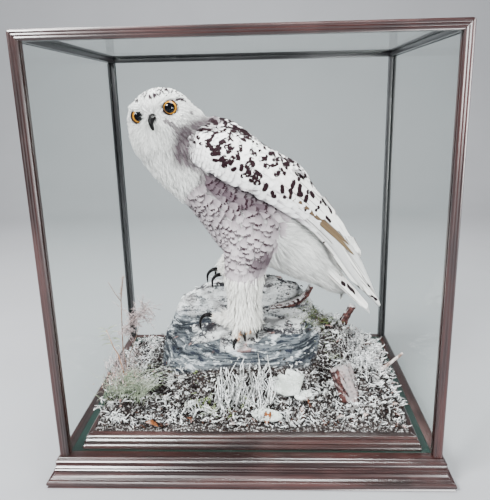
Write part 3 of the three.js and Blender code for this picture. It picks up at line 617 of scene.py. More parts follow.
lichen = Sprigs()
for _ in range(5200):
    x, y = dice.uniform(LOW_X, HIGH_X), dice.uniform(LOW_Y, HIGH_Y)
    rock = boulder_share(x, y)
    if dice.random() < rock * 0.95:
        continue
    spot, normal = ground_at(x, y)
    root = np.array(spot) / MM - (0, 0, 1.5)
    up = unit(np.array(normal) + dice.normal(0, 0.45, 3))
    patch = fractal(Vector((x, y, 0.1)) * 38, 0.9, 2.0, 3)
    front = rising(y, -0.172, -0.190)
    pale = (0.02 + 0.93 * rising(patch, -0.02, 0.42)) * (1 - 0.75 * front)
    green = rising(math.hypot((x + 0.052) / 0.06, (y + 0.135) / 0.035), 1.3, 0.4)
    brown = 0.06 + 0.30 * rising(x, 0.22, 0.28) + 0.5 * front
    root += up * (8.0 * rising(patch, -0.1, 0.30) + 0.4)
    if dice.random() < 0.5 * green:
        tint = np.array(GREEN)
    elif dice.random() < brown:
        tint = np.array(BROWN if dice.random() < 0.8 else PINK)
    elif dice.random() < pale:
        tint = np.array(PALE)
    else:
        tint = np.array(DARK if dice.random() < 0.78 else GREY)
    tint = tint * dice.uniform(0.7, 1.2)
    long = dice.uniform(6, 19) * (0.6 if rock > 0.3 else 1)
    lichen.curl(root, up, long, dice.uniform(0.8, 2.3), tint, dice.uniform(0.8, 4.2))
    if tint[0] > 0.5 and dice.random() < 0.5:
        for _ in range(3):
            fork = root + up * long * dice.uniform(0.3, 0.7)
            lichen.curl(fork, unit(dice.normal(0, 1, 3) + up), long * 0.45, 0.8, tint, 1.5)
lichen.finish("lichen", lichen_skin, "dry_plants")

strands = Sprigs()
for index in range(46):
    x = -60 + index * 2.2 + dice.uniform(-3, 3)
    top = bed_at(x, -111 + dice.uniform(-6, 12))
    bottom = bed_at(x, -140 + dice.uniform(-16, 8))
    shares = np.linspace(0, 1, 8)[:, None]
    line = blend(top, bottom, shares)
    line[:, 1] -= 1.5 + 3 * np.sin(np.pi * shares[:, 0])
    line[:, 0] += dice.uniform(2, 8) * np.sin(dice.uniform(4, 11) * shares[:, 0] + index)
    line = line[dice.integers(0, 3):dice.integers(6, 9)]
    strands.stem(line, 0.7, dice.uniform(1.2, 2.2), np.array(PALE) * dice.uniform(0.2, 0.9), 5)
    for _ in range(3):
        joint = line[dice.integers(0, len(line))]
        strands.curl(joint, (dice.normal(0, 0.4), -0.3, -1), dice.uniform(10, 24), 1.0,
                     np.array(PALE) * dice.uniform(0.5, 1.0), 0.9)
for _ in range(240):
    x, y = 128 + 22 * dice.normal(), 2 + 20 * dice.normal()
    spot, normal = ground_at(x * MM, y * MM)
    tint = np.array(GREEN if dice.random() < 0.75 else BROWN) * dice.uniform(0.6, 1.2)
    strands.curl(np.array(spot) / MM, np.array(normal), dice.uniform(10, 22), 0.7, tint, 2.6)
for _ in range(420):
    root = bed_at(218 + 24 * dice.normal(), -28 + 26 * dice.normal())
    tint = np.array(PALE if dice.random() < 0.7 else GREY) * dice.uniform(0.75, 1.1)
    stalk = np.array([root, root + (dice.normal(0, 4), dice.normal(0, 4), dice.uniform(8, 20))])
    strands.stem(stalk, 0.6, 0.3, tint)
    for _ in range(4):
        joint = stalk[0] + (stalk[1] - stalk[0]) * dice.uniform(0.3, 1)
        strands.curl(joint, dice.normal(0, 1, 3) + (0, 0, 0.6), dice.uniform(2, 4), 0.4, tint)
strands.finish("moss_and_strands", lichen_skin, "dry_plants")

plants = Sprigs()
HEATHER_TINT, TWIG_TINT = np.array((0.46, 0.36, 0.36)), np.array((0.24, 0.15, 0.12))
SPRIG = [(-240, -92, 92), (-243, -90, 126), (-251, -90, 164), (-258, -90, 177), (-269, -90, 214)]
for line, thick, thin, tint in (
    ([(-245, -60, 84), (-245, -61, 108), (-250, -62, 160), (-249, -60, 199), (-246, -60, 261),
      (-241, -58, 296), (-238, -60, 311)], 1.7, 0.7, TWIG_TINT),
    ([(-246, -60, 258), (-252, -61, 268), (-258, -60, 277), (-268, -60, 298)], 1.0, 0.5, TWIG_TINT),
    (SPRIG, 1.3, 0.7, np.array((0.40, 0.20, 0.12))),
    ([(-243, -62, 120), (-236, -66, 150), (-222, -62, 186), (-214, -60, 214)], 1.1, 0.5, TWIG_TINT),
    ([(-249, -60, 199), (-232, -58, 214), (-212, -60, 236), (-192, -62, 252)], 1.1, 0.4, TWIG_TINT),
):
    plants.stem(line, thick, thin, tint, 5)
for _ in range(130):
    share = dice.uniform(0, 1)
    anchor = blend(np.array([-249, -60, 190]), np.array([-198, -60, 246]), share)
    goal = anchor + dice.normal(0, 1, 3) * (15, 13, 15) + (6, 0, 3)
    goal[0] = max(goal[0], -284)
    bend = (anchor + goal) / 2 + dice.normal(0, 2.5, 3)
    plants.stem([anchor, bend, goal], 0.55, 0.3, HEATHER_TINT * dice.uniform(0.6, 1.2))
    for _ in range(7):
        joint = bend + (goal - bend) * dice.uniform(-0.3, 1.0)
        plants.curl(joint, unit(dice.normal(0, 1, 3)), dice.uniform(3, 6), 0.45,
                    HEATHER_TINT * dice.uniform(0.8, 1.6), 1.2)
for _ in range(60):
    share = dice.uniform(0.1, 1)
    anchor = blend(np.array([-248, -60, 262]), np.array([-239, -59, 308]), share)
    plants.curl(anchor, unit(dice.normal(0, 1, 3) + (0, 0, 0.5)), dice.uniform(3, 7), 0.45,
                TWIG_TINT * dice.uniform(0.8, 1.7), 1.0)
for _ in range(110):
    foot = np.array((-250, -72, 108)) + dice.normal(0, 1, 3) * (14, 12, 20)
    goal = foot + (dice.normal(0, 7), dice.normal(0, 6), dice.uniform(14, 34))
    plants.stem([foot, (foot + goal) / 2 + dice.normal(0, 3, 3), goal], 0.6, 0.3,
                HEATHER_TINT * dice.uniform(0.7, 1.4))
    for _ in range(4):
        plants.curl(goal + dice.normal(0, 3, 3), unit(dice.normal(0, 1, 3)), 4, 0.45,
                    HEATHER_TINT * dice.uniform(0.9, 1.6), 1.2)
for step in range(9):
    share = 0.35 + 0.08 * step
    joint = blend(np.array(SPRIG[2]), np.array(SPRIG[4]), share)
    for way in (-1, 1):
        plants.leaf(joint, (way * 1.0 - 0.2, dice.normal(0, 0.3), -0.5 + 0.9 * dice.random()),
                    dice.uniform(14, 24), 2.6, np.array((0.40, 0.44, 0.28)) * dice.uniform(0.8, 1.2))
for _ in range(170):
    x, y = -244 + 15 * dice.normal(), -104 + 12 * dice.normal()
    goal = bed_at(min(max(x, -278), -205), y)
    goal += (dice.normal(2, 13), dice.normal(0, 10), dice.uniform(3, 26))
    plants.curl(goal, unit(dice.normal(0, 1, 3)), dice.uniform(4, 8), 1.1,
                np.array((0.42, 0.25, 0.21)) * dice.uniform(0.6, 1.5), 2.5)
for _ in range(330):
    root = bed_at(dice.uniform(-272, -196), dice.uniform(-142, -100))
    tall = dice.uniform(26, 62)
    lean = np.array((dice.normal(0.30, 0.42), dice.normal(0, 0.28), 1.0))
    shares = np.linspace(0, 1, 6)[:, None]
    line = root + lean * tall * shares + np.array((0, 0, -1.0)) * tall * 0.45 * shares**3
    line += np.array((lean[0], lean[1], 0)) * tall * 0.5 * shares**2
    plants.stem(line, 0.75, 0.2, np.array((0.40, 0.46, 0.32)) * dice.uniform(0.7, 1.25), 3, 0.35)
for x, y, length, width, dull in (
    (30, -183, 26, 14, 0), (-158, -186, 24, 13, 0), (92, -166, 22, 9, 1), (250, -150, 14, 7, 0),
    (-20, -182, 16, 9, 1), (150, -172, 18, 9, 1), (108, -148, 24, 6, 1), (206, -164, 17, 9, 0),
    (-96, -180, 15, 8, 1),
):
    tint = np.array((0.11, 0.04, 0.022) if dull else (0.24, 0.08, 0.03))
    way = (dice.normal(0, 1), dice.normal(0, 0.5), 0.25)
    plants.leaf((x, y, bed_at(x, y)[2] + 3), way, length, width, tint)
plants.finish("dried_plants", dry_skin, "dry_plants")

# ---------------------------------------------------------------- stone, bark and sticks
# A split slab of pale lichened stone leans on the boulder beside a roll of red-brown bark, with a
# bent branch above them, a broken stub and a peeled twig.
STICK_EDGE, KNOBS, BROKEN_CORNERS = 3.2 * MM, 160, 7

pale_stone, place = new_material("pale_stone")
grain = place.noise(300, 4, 0.7)
stain = place.noise(28, 3)
weathered = (stain * 0.6 + grain * 0.4).step(0.40, 0.62)
principled(pale_stone, place, {
    "Base Color": weathered.between((0.30, 0.31, 0.29), (0.60, 0.61, 0.60)),
    "Roughness": 0.8,
    "Specular IOR Level": 0.15,
    "Normal": (grain * 0.6 + stain * 0.4).bumps(0.5, 0.001),
})


def bark_material(name, snow):
    """Dark red bark, with white paint brushed over what faces up."""
    material, place = new_material(name)
    rough = place.stretched(70, 70, 22).noise(1.0, 5, 0.7)
    flakes = place.noise(190, 3)
    up = place.facing_up()
    colour = (flakes * 0.4 + rough * 0.6).step(0.40, 0.62).between(
        (0.010, 0.0035, 0.004), (0.085, 0.030, 0.027)
    )
    snowed = (up * 0.8 + flakes * 0.5 + rough * 0.2).step(0.62, 0.85) * snow
    return principled(material, place, {
        "Base Color": snowed.between(colour, (0.66, 0.62, 0.63)),
        "Roughness": 0.78,
        "Specular IOR Level": 0.15,
        "Normal": (rough + 0.3 * flakes).bumps(0.8, 0.002),
    })


snowy_bark, bare_bark = bark_material("snowy_bark", 0.7), bark_material("bare_bark", 0.25)
peeled, place = new_material("peeled_twig")
streak = place.stretched(120, 40, 60).noise(1.0, 4)
principled(peeled, place, {
    "Base Color": streak.step(0.35, 0.65).between((0.16, 0.10, 0.085), (0.62, 0.55, 0.53)),
    "Roughness": 0.65,
    "Normal": streak.bumps(0.4, 0.0008),
})


def push_out(form, distance_at):
    """Moves every point of a form along its own normal, by the distance for its place."""
    form.normal_update()
    steps = [point.normal * distance_at(point.co) for point in form.verts]
    for point, step in zip(form.verts, steps):
        point.co += step


for node, material, slot, rough_by in (
    ("leaning_stone", pale_stone, "flat_stone", 1.2), ("bark_curl", bare_bark, "bark", 2.2),
    ("branch", snowy_bark, "bark", 1.4), ("broken_stub", snowy_bark, "bark", 1.8),
    ("pale_twig", peeled, "pale_twig", 0.5),
):
    stick = welded_copy(node + "_worn", node)
    with edited(stick.data) as form:
        bmesh.ops.triangulate(form, faces=form.faces)
        for _ in range(3):
            long_edges = [edge for edge in form.edges if edge.calc_length() > STICK_EDGE]
            bmesh.ops.subdivide_edges(form, edges=long_edges, cuts=1, use_grid_fill=True)
            bmesh.ops.triangulate(form, faces=form.faces)
        push_out(form, lambda place: MM * rough_by * fractal(place * KNOBS, 0.8, 2.1, 4))
    covered(stick.data, material)
    fix(stick, slot, node)


def loose_slab(name, centre, size, turn, tilt, seed):
    """A thin split stone with a broken outline, lying on the litter."""
    outline = np.random.default_rng(seed).uniform(0.78, 1.0, BROKEN_CORNERS)
    mesh = bpy.data.meshes.new(name)
    with edited(mesh) as form:
        bmesh.ops.create_icosphere(form, subdivisions=5, radius=1)
        for point in form.verts:
            heading = math.atan2(point.co.y, point.co.x) / math.tau * BROKEN_CORNERS % BROKEN_CORNERS
            first, share = int(heading), heading % 1
            edge = blend(outline[first], outline[(first + 1) % BROKEN_CORNERS], share)
            flat = math.copysign(min(1, abs(point.co.z) * 2.2), point.co.z)
            rough = fractal(point.co * 3.0 + Vector((seed, 0, 0)), 0.8, 2.1, 4)
            point.co = Vector((point.co.x * edge, point.co.y * edge, flat * (1 + 0.5 * rough)))
            point.co = Vector(a * b for a, b in zip(point.co, size))
        form.transform(Matrix.Translation(centre) @ Euler((tilt, 0.06, turn)).to_matrix().to_4x4())
    covered(mesh, pale_stone)
    fix(placed(name, mesh), "flat_stone")


for number, (x, y, size, turn, tilt) in enumerate((
    (0.031, -0.166, (0.030, 0.014, 0.0035), -0.15, 0.30),
    (0.098, -0.128, (0.020, 0.011, 0.003), 0.5, 0.4),
)):
    spot, _ = ground_at(x, y)
    loose_slab(f"loose_slab_{number + 1}", (x, y, spot.z + 0.007), size, turn, tilt, number)

# ---------------------------------------------------------------- dried ferns
# Fronds of dried fern lie over the litter and by the moss. Each has a row of thin leaflets down
# both sides of its stem, pressed flat before it was stuck in.
ferns = Sprigs()
for x, y, heading, long, tint in (
    (84, -136, 0.35, 46, (0.10, 0.065, 0.05)), (196, -70, 2.2, 44, (0.42, 0.40, 0.40)),
    (222, -52, 1.5, 40, (0.50, 0.48, 0.48)), (150, -48, 0.6, 40, (0.24, 0.25, 0.16)),
    (170, -150, 0.2, 42, (0.30, 0.27, 0.27)), (-120, -150, 0.5, 44, (0.46, 0.46, 0.42)),
    (-60, -158, 2.6, 36, (0.36, 0.38, 0.26)), (240, -120, 1.9, 40, (0.44, 0.42, 0.42)),
):
    root = bed_at(x, y) + (0, 0, 3)
    run = np.array((math.cos(heading), math.sin(heading), 0.42)) * long
    line = [root + run * share - np.array((0, 0, 0.30 * long)) * share**2 for share in
            np.linspace(0, 1, 14)]
    ferns.stem(line, 0.8, 0.3, np.array(tint) * 0.8)
    for index, joint in enumerate(line[1:-1]):
        for side in (-1, 1):
            aside = heading + side * 1.15
            way = np.array((math.cos(aside), math.sin(aside), 0.15))
            ferns.leaf(joint, way, (14 - 11 * index / 12) * dice.uniform(0.85, 1.1), 2.6,
                       np.array(tint) * dice.uniform(0.7, 1.2))
ferns.finish("dried_ferns", lichen_skin, "dry_plants")

# ---------------------------------------------------------------- skin of the owl
# The cured skin is drawn over a bound body and sewn shut, so head, neck, trunk, legs and folded
# wings are one surface. It lies under the plumage by the depth that the feathers have there.
BIRD_TURN = 10  # degrees that the bird is turned on its rock
HEAD_TURN = (2, -13, -18.6)  # degrees: nod, tilt and turn of the head
HEAD_CENTRE = np.array([-152, -12, 603])
PLUMAGE_DEPTH = {  # mm
    "head": 2.6, "neck": 4.5, "trunk": 5.0, "thigh": 4.5, "shank": 3.8, "foot": 2.0, "wing": 3.4,
}
SIDES = {"left": -1, "right": 1}
SWELL, KNIT_CELL = 0.7 * MM, 3 * MM  # so that the bound parts touch and knit into one


def turned(axis, degrees):
    return np.array(Matrix.Rotation(math.radians(degrees), 3, axis))


bird_axes = turned("Z", BIRD_TURN)
head_axes = turned("Z", HEAD_TURN[2]) @ turned("Y", HEAD_TURN[1]) @ turned("X", HEAD_TURN[0])


def from_bird(points):
    """Metres in the frame from mm in the bird's frame, whose x runs from its breast to its tail."""
    return np.asarray(points) @ bird_axes.T * MM


def to_bird(points):
    return np.asarray(points) @ bird_axes / MM


def to_head(points):
    return (to_bird(points) - HEAD_CENTRE) @ head_axes


def from_head(points):
    """Metres in the frame from mm in the head's frame, whose -y runs out along the bill."""
    return from_bird(np.asarray(points) @ head_axes.T + HEAD_CENTRE)


def near_line(points, start, end, radius):
    """1 on the line from start to end, falling softly to 0 about a radius away."""
    start, end = np.asarray(start, float), np.asarray(end, float)
    run = end - start
    share = np.clip((points - start) @ run / max(run @ run, 1e-9), 0, 1)
    gap = np.linalg.norm(points - start - share[:, None] * run, axis=1)
    return np.exp(-((gap / radius) ** 2))


def array_of(things, name, width=3):
    values = np.empty(len(things) * width, np.float32)
    things.foreach_get(name, values)
    return values.reshape(-1, width).astype(float) if width > 1 else values.astype(float)


def blurred(values, edges, rounds):
    """Values at the points of a mesh, smoothed over its edges."""
    count = np.bincount(edges.ravel(), minlength=len(values))[:, None]
    for _ in range(rounds):
        total = np.stack([
            np.bincount(edges[:, 0], column[edges[:, 1]], len(values))
            + np.bincount(edges[:, 1], column[edges[:, 0]], len(values))
            for column in values.T
        ], axis=1)
        values = 0.4 * values + 0.6 * total / np.maximum(count, 1)
    return values


def tree_of(*names):
    """A tree of the faces of some CAD nodes, for finding the nearest place on them."""
    corners, faces = [], []
    for name in names:
        mesh = nodes[name].data
        faces += [[len(corners) + i for i in face.vertices] for face in mesh.polygons]
        corners += [point.co.copy() for point in mesh.vertices]
    return BVHTree.FromPolygons(corners, faces)


flesh = [name for name in sorted(nodes) if name.split("_")[0] in PLUMAGE_DEPTH]
kinds = [name.split("_")[0] for name in flesh]
depths = np.array([PLUMAGE_DEPTH[kind] for kind in kinds])
raw = welded_copy("raw_skin", *flesh)
with edited(raw.data) as form:
    for point in form.verts:
        point.co += point.normal * SWELL
knit = raw.modifiers.new("knit", "REMESH")
knit.mode, knit.voxel_size = "VOXEL", KNIT_CELL
bpy.context.view_layer.update()
drawn = bpy.data.meshes.new_from_object(raw.evaluated_get(bpy.context.evaluated_depsgraph_get()))
bpy.data.objects.remove(raw)
with edited(drawn) as form:
    unseen, islands = set(form.verts), []
    while unseen:
        island = [unseen.pop()]
        for point in island:
            for edge in point.link_edges:
                other = edge.other_vert(point)
                if other in unseen:
                    unseen.remove(other)
                    island.append(other)
        islands.append(island)
    islands.sort(key=len)
    bmesh.ops.delete(form, geom=[point for island in islands[:-1] for point in island])
    bmesh.ops.triangulate(form, faces=form.faces)

places = array_of(drawn.vertices, "co")
edges = np.array([edge.vertices[:] for edge in drawn.edges])
places = blurred(places, edges, 5)
drawn.vertices.foreach_set("co", places.astype(np.float32).ravel())
tract_trees = [tree_of(name) for name in flesh]
distances = np.array([
    [tree.find_nearest(place)[3] for tree in tract_trees] for place in map(Vector, places)
])
tract = distances.argmin(axis=1)
depth = depths[tract] * MM
depth = blurred(depth[:, None], edges, 8)
normals = unit(blurred(array_of(drawn.vertex_normals, "vector"), edges, 2))
places = places - normals * depth
drawn.vertices.foreach_set("co", places.astype(np.float32).ravel())
drawn.update()
normals = unit(blurred(array_of(drawn.vertex_normals, "vector"), edges, 2))

# ---------------------------------------------------------------- lie and markings of the plumage
# Feathers stream out from the bill and eyes, back over the crown, down the breast and flanks,
# along the wings and down the legs. The breast, flanks and thighs are barred with thin dark
# crescents, the face, bib, legs and undertail are white, and the wings carry rows of blotches.
EYES = {  # in the head's own frame, as the bill is
    "left": np.array([29.5, -36.6, 9]), "right": np.array([-29.5, -36.6, 9]),
}
BILL_BASE = np.array([0, -52, 2])
WING_LOWER = np.array([
    [-122, 46, 552], [-108, 72, 526], [-56, 95, 496], [20, 94, 456],
    [86, 79, 414], [146, 58, 352], [200, 36, 276], [264, 12, 203],
])
WING_UPPER = np.array([
    [-120, 44, 556], [-96, 50, 582], [-40, 52, 583], [44, 50, 537],
    [110, 43, 476], [174, 30, 398], [222, 18, 312], [269, 10, 208],
])
LEG = {  # heel, ankle and the tips of the toes of each foot
    "left": ([-20, -56, 308], [-20, -58, 214], [-81, -26, 219], [-41, -86, 194],
             [-26, -80, 210], [-11, -74, 210]),
    "right": ([-6, 50, 336], [-30, 50, 294], [-54, 34, 280], [-60, 52, 286],
              [-46, 78, 278], [-4, 66, 278]),
}
TOE_TIPS = np.array([tip for side in LEG for tip in LEG[side][2:]], float)


def wing_place(along, across, side):
    """The place on a wing at a share of its length from the shoulder and of its width upwards."""
    along = np.clip(np.asarray(along, float), 0, 1) * (len(WING_LOWER) - 1)
    station = np.minimum(along.astype(int), len(WING_LOWER) - 2)
    share = (along - station)[..., None]
    low, high = (
        blend(edge[station], edge[station + 1], share) for edge in (WING_LOWER, WING_UPPER)
    )
    across = np.asarray(across, float)[..., None]
    place = blend(low, high, across)
    place[..., 1] = side * (place[..., 1] + 26 * np.sin(np.pi * across[..., 0].clip(0, 1)))
    return place


in_bird = to_bird(places)
in_head = to_head(places)
lie = np.zeros_like(places)
for index, name in enumerate(flesh):
    own = tract == index
    part, _, side = name.partition("_")
    spots = in_bird[own]
    if part == "head":
        local = in_head[own]
        pull = np.zeros_like(local)
        for source, power in ((EYES["left"], 1.0), (EYES["right"], 1.0), (BILL_BASE, 0.9)):
            gap = local - source
            pull += power * unit(gap) / np.maximum((gap**2).sum(1, keepdims=True), 9)
        way = unit(pull) @ head_axes.T
    elif part == "neck":
        way = unit(spots - HEAD_CENTRE) + np.array([0.35, 0, -0.75])
    elif part == "trunk":
        back = rising(spots[:, :1], -90, 60)
        way = blend(np.array([0.30, 0, -0.95]), np.array([0.72, 0, -0.69]), back)
        flank = rising(spots[:, :1], -95, -45) * rising(spots[:, 2:], 352, 400)
        way = way + flank * np.array([1.1, 0, 0.45])
        way = way + np.array([0, 0.12, 0]) * np.sign(spots[:, 1:2])
    elif part == "thigh":
        heel = np.array(LEG[side][0])
        way = np.array([-0.16, 0, -1.0]) + 0.35 * unit(heel - spots)
    elif part == "shank":
        way = np.array(LEG[side][1], float) - LEG[side][0] + np.zeros_like(spots)
    elif part == "foot":
        ankle, toes = np.array(LEG[side][1], float), np.array(LEG[side][2:], float)
        reach = np.stack([near_line(spots, ankle, toe, 9.0) for toe in toes], axis=1)
        way = (toes - ankle)[reach.argmax(1)] + np.array([0, 0, -14.0])
    else:
        spine = wing_place(np.linspace(0, 1, 41), np.full(41, 0.5), SIDES[side])
        spread = np.linalg.norm(spots[:, None, [0, 2]] - spine[None, :, [0, 2]], axis=2)
        way = np.gradient(spine, axis=0)[spread.argmin(1)]
    lie[own] = unit(way + np.zeros_like(spots))
lie = lie @ bird_axes.T
for _ in range(4):
    lie = lie - normals * (lie * normals).sum(1, keepdims=True)
    lie = unit(blurred(unit(lie), edges, 3))
lie = unit(lie - normals * (lie * normals).sum(1, keepdims=True))


BLOTCHES_AND_SHADOW_LINE = [  # long dark patches seen from the side: two ends and a radius
    (-81, 561, -74, 564, 2.2), (-81, 554, -76, 556, 1.9), (-71, 568, -68, 572, 1.6),
    (-57, 559, -44, 564, 2.5), (-72, 550, -60, 551, 3.8), (-72, 541, -61, 542, 2.8),
    (-41, 568, -36, 562, 1.4), (-40, 554, -49, 552, 2.2), (-38, 551, -45, 545, 3.5),
    (-30, 541, -29, 533, 3.2), (-22, 556, -23, 545, 1.9), (-53, 535, -59, 531, 3.2),
    (-65, 530, -70, 531, 1.9), (-38, 533, -43, 526, 3.8), (-50, 528, -54, 521, 3.8),
    (-24, 520, -25, 514, 2.5), (-36, 516, -39, 514, 2.5), (-6, 529, -4, 522, 3.8),
    (-12, 524, -15, 518, 2.8), (-12, 511, -13, 505, 4.1), (-18, 505, -23, 503, 2.8),
    (0, 509, 8, 501, 3.5), (7, 501, 2, 494, 3.2), (-4, 500, -8, 495, 3.8), (-1, 489, 5, 489, 2.8),
    (18, 484, 15, 478, 3.5), (29, 471, 32, 464, 3.2), (47, 480, 47, 471, 2.8),
    (62, 472, 64, 468, 2.8), (71, 484, 67, 478, 3.2), (62, 462, 62, 459, 1.9),
    (83, 476, 81, 469, 3.2), (79, 464, 84, 462, 3.5), (95, 456, 92, 451, 3.2),
    (107, 460, 110, 455, 3.2), (42, 503, 37, 501, 3.2), (19, 518, 23, 516, 3.2),
    (31, 516, 42, 518, 1.9), (56, 517, 66, 514, 3.2), (43, 525, 55, 524, 2.2),
    (11, 529, 21, 528, 2.2), (31, 535, 39, 535, 2.5), (-4, 543, -4, 540, 2.5),
    (23, 546, 32, 544, 2.1), (75, 514, 81, 511, 1.9), (79, 497, 86, 492, 1.9),
    (86, 492, 104, 484, 1.7), (-11, 566, -2, 563, 2.4), (-18, 573, -5, 569, 1.6),
    (-41, 573, -21, 568, 1.3), (-21, 566, -13, 560, 1.3), (-82, 590, -76, 587, 4.4),
    # The thin pieces from (-96, 580) to (-21, 575), on this line and the next, are a painted shadow
    # where the nape meets the wing.
    (-65, 591, -61, 586, 3.5), (-64, 576, -48, 578, 1.6), (-48, 578, -21, 575, 1.6),
    (-96, 580, -64, 576, 1.6), (132, 443, 139, 434, 1.9), (145, 429, 150, 418, 1.6),
    (135, 414, 144, 404, 1.3), (173, 290, 182, 281, 1.3), (177, 272, 183, 267, 1.9),
    (192, 262, 197, 255, 1.6), (200, 253, 206, 246, 1.3), (212, 256, 216, 250, 1.9),
    (236, 258, 244, 255, 2.2), (240, 232, 255, 222, 2.5),
]
SPOTS = [  # and round ones
    (-94, 568, 2.2), (-101, 560, 1.4), (-91, 558, 1.6), (51, 461, 2.5), (99, 464, 2.5),
    (48, 508, 2.8), (54, 501, 2.8), (60, 509, 1.9), (36, 525, 1.6), (24, 532, 1.4), (2, 537, 2.8),
    (12, 541, 2.1), (0, 550, 2.1), (10, 552, 2.5), (74, 522, 1.4), (90, 503, 2.8), (83, 487, 2.5),
    (106, 495, 1.4), (115, 470, 2.4), (2, 558, 1.9), (-49, 593, 3.2), (-42, 594, 1.9),
    (-44, 586, 3.2), (-34, 586, 2.4), (-29, 580, 1.9), (-15, 581, 2.5), (-21, 587, 1.9),
    (119, 434, 2.2), (113, 430, 1.9), (126, 441, 1.9), (91, 434, 1.6), (133, 363, 1.6),
    (227, 283, 1.3), (196, 300, 3.0),
]
dark_patches = np.array(BLOTCHES_AND_SHADOW_LINE + [(x, z, x, z, radius) for x, z, radius in SPOTS], float)


def blotch_and_shadow_at(points):
    """Above a half inside a dark patch, and below it outside, for places in the bird's frame."""
    side_on = points[:, [0, 2]]
    strongest = np.zeros(len(points))
    for x1, z1, x2, z2, radius in dark_patches:
        start, run = np.array([x1, z1]), np.array([x2 - x1, z2 - z1])
        share = np.clip((side_on - start) @ run / max(run @ run, 1e-9), 0, 1)
        gap = np.linalg.norm(side_on - start - share[:, None] * run, axis=1)
        strongest = np.maximum(strongest, 1 - 0.5 * gap / (0.95 * radius + 1.5))
    return strongest


def bars_at(points):
    """How strongly the plumage is barred at places in the bird's frame."""
    x, z = points[:, 0], points[:, 2]
    below_bib = rising(0.96 * x - 0.27 * z, -256, -238)
    ahead_of_tail = rising(60 - x + 0.62 * (z - 414), 0, 12)
    above_shank = rising(z, 313, 326)
    return below_bib * ahead_of_tail * above_shank


def painted_shade_at(points):
    """Painted shade in soft purple-brown beside the neck, below the wing and under the thigh's hem, and
    the dark nape.
    """
    side_on = points[:, [0, 2]]
    outer = rising(np.abs(points[:, 1]), 24, 44)
    shade = np.zeros(len(points))
    for start, end, radius, strength in (
        ((-112, 566), (-117, 528), 16, 1.5), ((-108, 516), (-84, 508), 10, 0.8),
        ((-72, 486), (-36, 462), 20, 0.95), ((-36, 462), (18, 436), 19, 1.0),
        ((-24, 432), (14, 420), 32, 0.32), ((20, 336), (0, 324), 13, 1.0),
    ):
        shade = np.maximum(shade, strength * near_line(side_on, start, end, radius))
    nape = near_line(points * (1, 0, 1), (-98, 0, 582), (-52, 0, 592), 10)
    return np.minimum(np.maximum(shade * outer, 0.9 * nape), 0.84)


BARRED_DEPTH = 4.4  # mm: the down over a thinner coat isn't barred

skin_material, place = new_material("cured_skin")
barred, bare, shaded = place.kept("mark").parts()
ripples = place.stretched(60, 60, 150).noise(1.0, 2).step(0.52, 0.62)
fuzz = place.noise(420, 3)
down_colour = fuzz.between((0.50, 0.47, 0.47), (0.74, 0.72, 0.72))
down_colour = (barred * ripples * 0.6).between(down_colour, (0.20, 0.13, 0.15))
# Painted shade below the head, wing and thigh's hem, and the dark blotches, in purple-brown.
down_colour = shaded.deepened().between(down_colour, (0.060, 0.040, 0.050))
down_colour = bare.between(down_colour, (0.46, 0.15, 0.055))
principled(skin_material, place, {
    "Base Color": down_colour,
    "Roughness": 0.85,
    "Normal": fuzz.bumps(0.5, 0.001),
})
put(drawn, "mark", np.stack([
    bars_at(in_bird) * (depths > BARRED_DEPTH)[tract],
    np.max([near_line(in_bird, tip, tip, 6.5) for tip in TOE_TIPS], axis=0),
    # painted shade, and the dark blotches of the wing and nape
    np.maximum(painted_shade_at(in_bird), (blotch_and_shadow_at(in_bird) > 0.55) * 0.9),
], axis=1))
drawn.name = "skin"
drawn.materials.clear()
covered(drawn, skin_material)
skin = placed("skin", drawn)
bpy.context.view_layer.objects.active = skin
skin.select_set(True)
bpy.ops.object.mode_set(mode="EDIT")
bpy.ops.mesh.select_all(action="SELECT")
bpy.ops.uv.smart_project(angle_limit=math.radians(72), island_margin=0.002)
bpy.ops.object.mode_set(mode="OBJECT")
drawn.uv_layers.active.name = "OFBake"
fix(skin, "plumage_white", *flesh)

# ---------------------------------------------------------------- body plumage
# Down and contour feathers are laid over the skin from roots of their own. The face, bib, legs and
# undertail carry fine loose tufts, and the breast, back and thighs round ragged body feathers.
UV_PATCH = 0.003  # side of each feather's own patch on the skin's unwrap
MOST_TRIANGLES = 180000  # in one piece
TRIALS, CLOSEST = 3.4, 0.86  # roots tried for each place, and the share of the gap they must keep
SHARP_TURN = 0.55  # cosine of the bend where a feather leaves the skin and runs straight on

tris = np.array([face.vertices[:] for face in drawn.polygons])
tri_uv = array_of(drawn.uv_layers["OFBake"].uv, "vector", 2).reshape(-1, 3, 2)
sides_of = places[tris]
areas = np.linalg.norm(np.cross(
    sides_of[:, 1] - sides_of[:, 0], sides_of[:, 2] - sides_of[:, 0],
), axis=1) / 2
skin_tree = BVHTree.FromPolygons([Vector(p) for p in places], [tuple(t) for t in tris])
face_lie = [Vector(way) for way in unit(lie[tris].sum(1))]


def scattered(gap, seed):
    """Roots over the skin, kept apart by the gap given at each point, as faces and shares."""
    dice = np.random.default_rng(seed)
    face_gap = gap[tris].mean(1)
    weight = np.where(np.isfinite(face_gap), areas / face_gap**2, 0)
    total = int(TRIALS * weight.sum())
    face = dice.choice(len(tris), total, p=weight / weight.sum())
    share = dice.dirichlet((1, 1, 1), total)
    spot = (places[tris[face]] * share[:, :, None]).sum(1)
    tree = KDTree(total)
    for index, one in enumerate(spot):
        tree.insert(one, index)
    tree.balance()
    alive, kept = np.ones(total, bool), []
    for index in range(total):
        if alive[index]:
            kept.append(index)
            for _, other, _ in tree.find_range(spot[index], CLOSEST * face_gap[face[index]]):
                alive[other] = False
    return face[kept], share[kept]


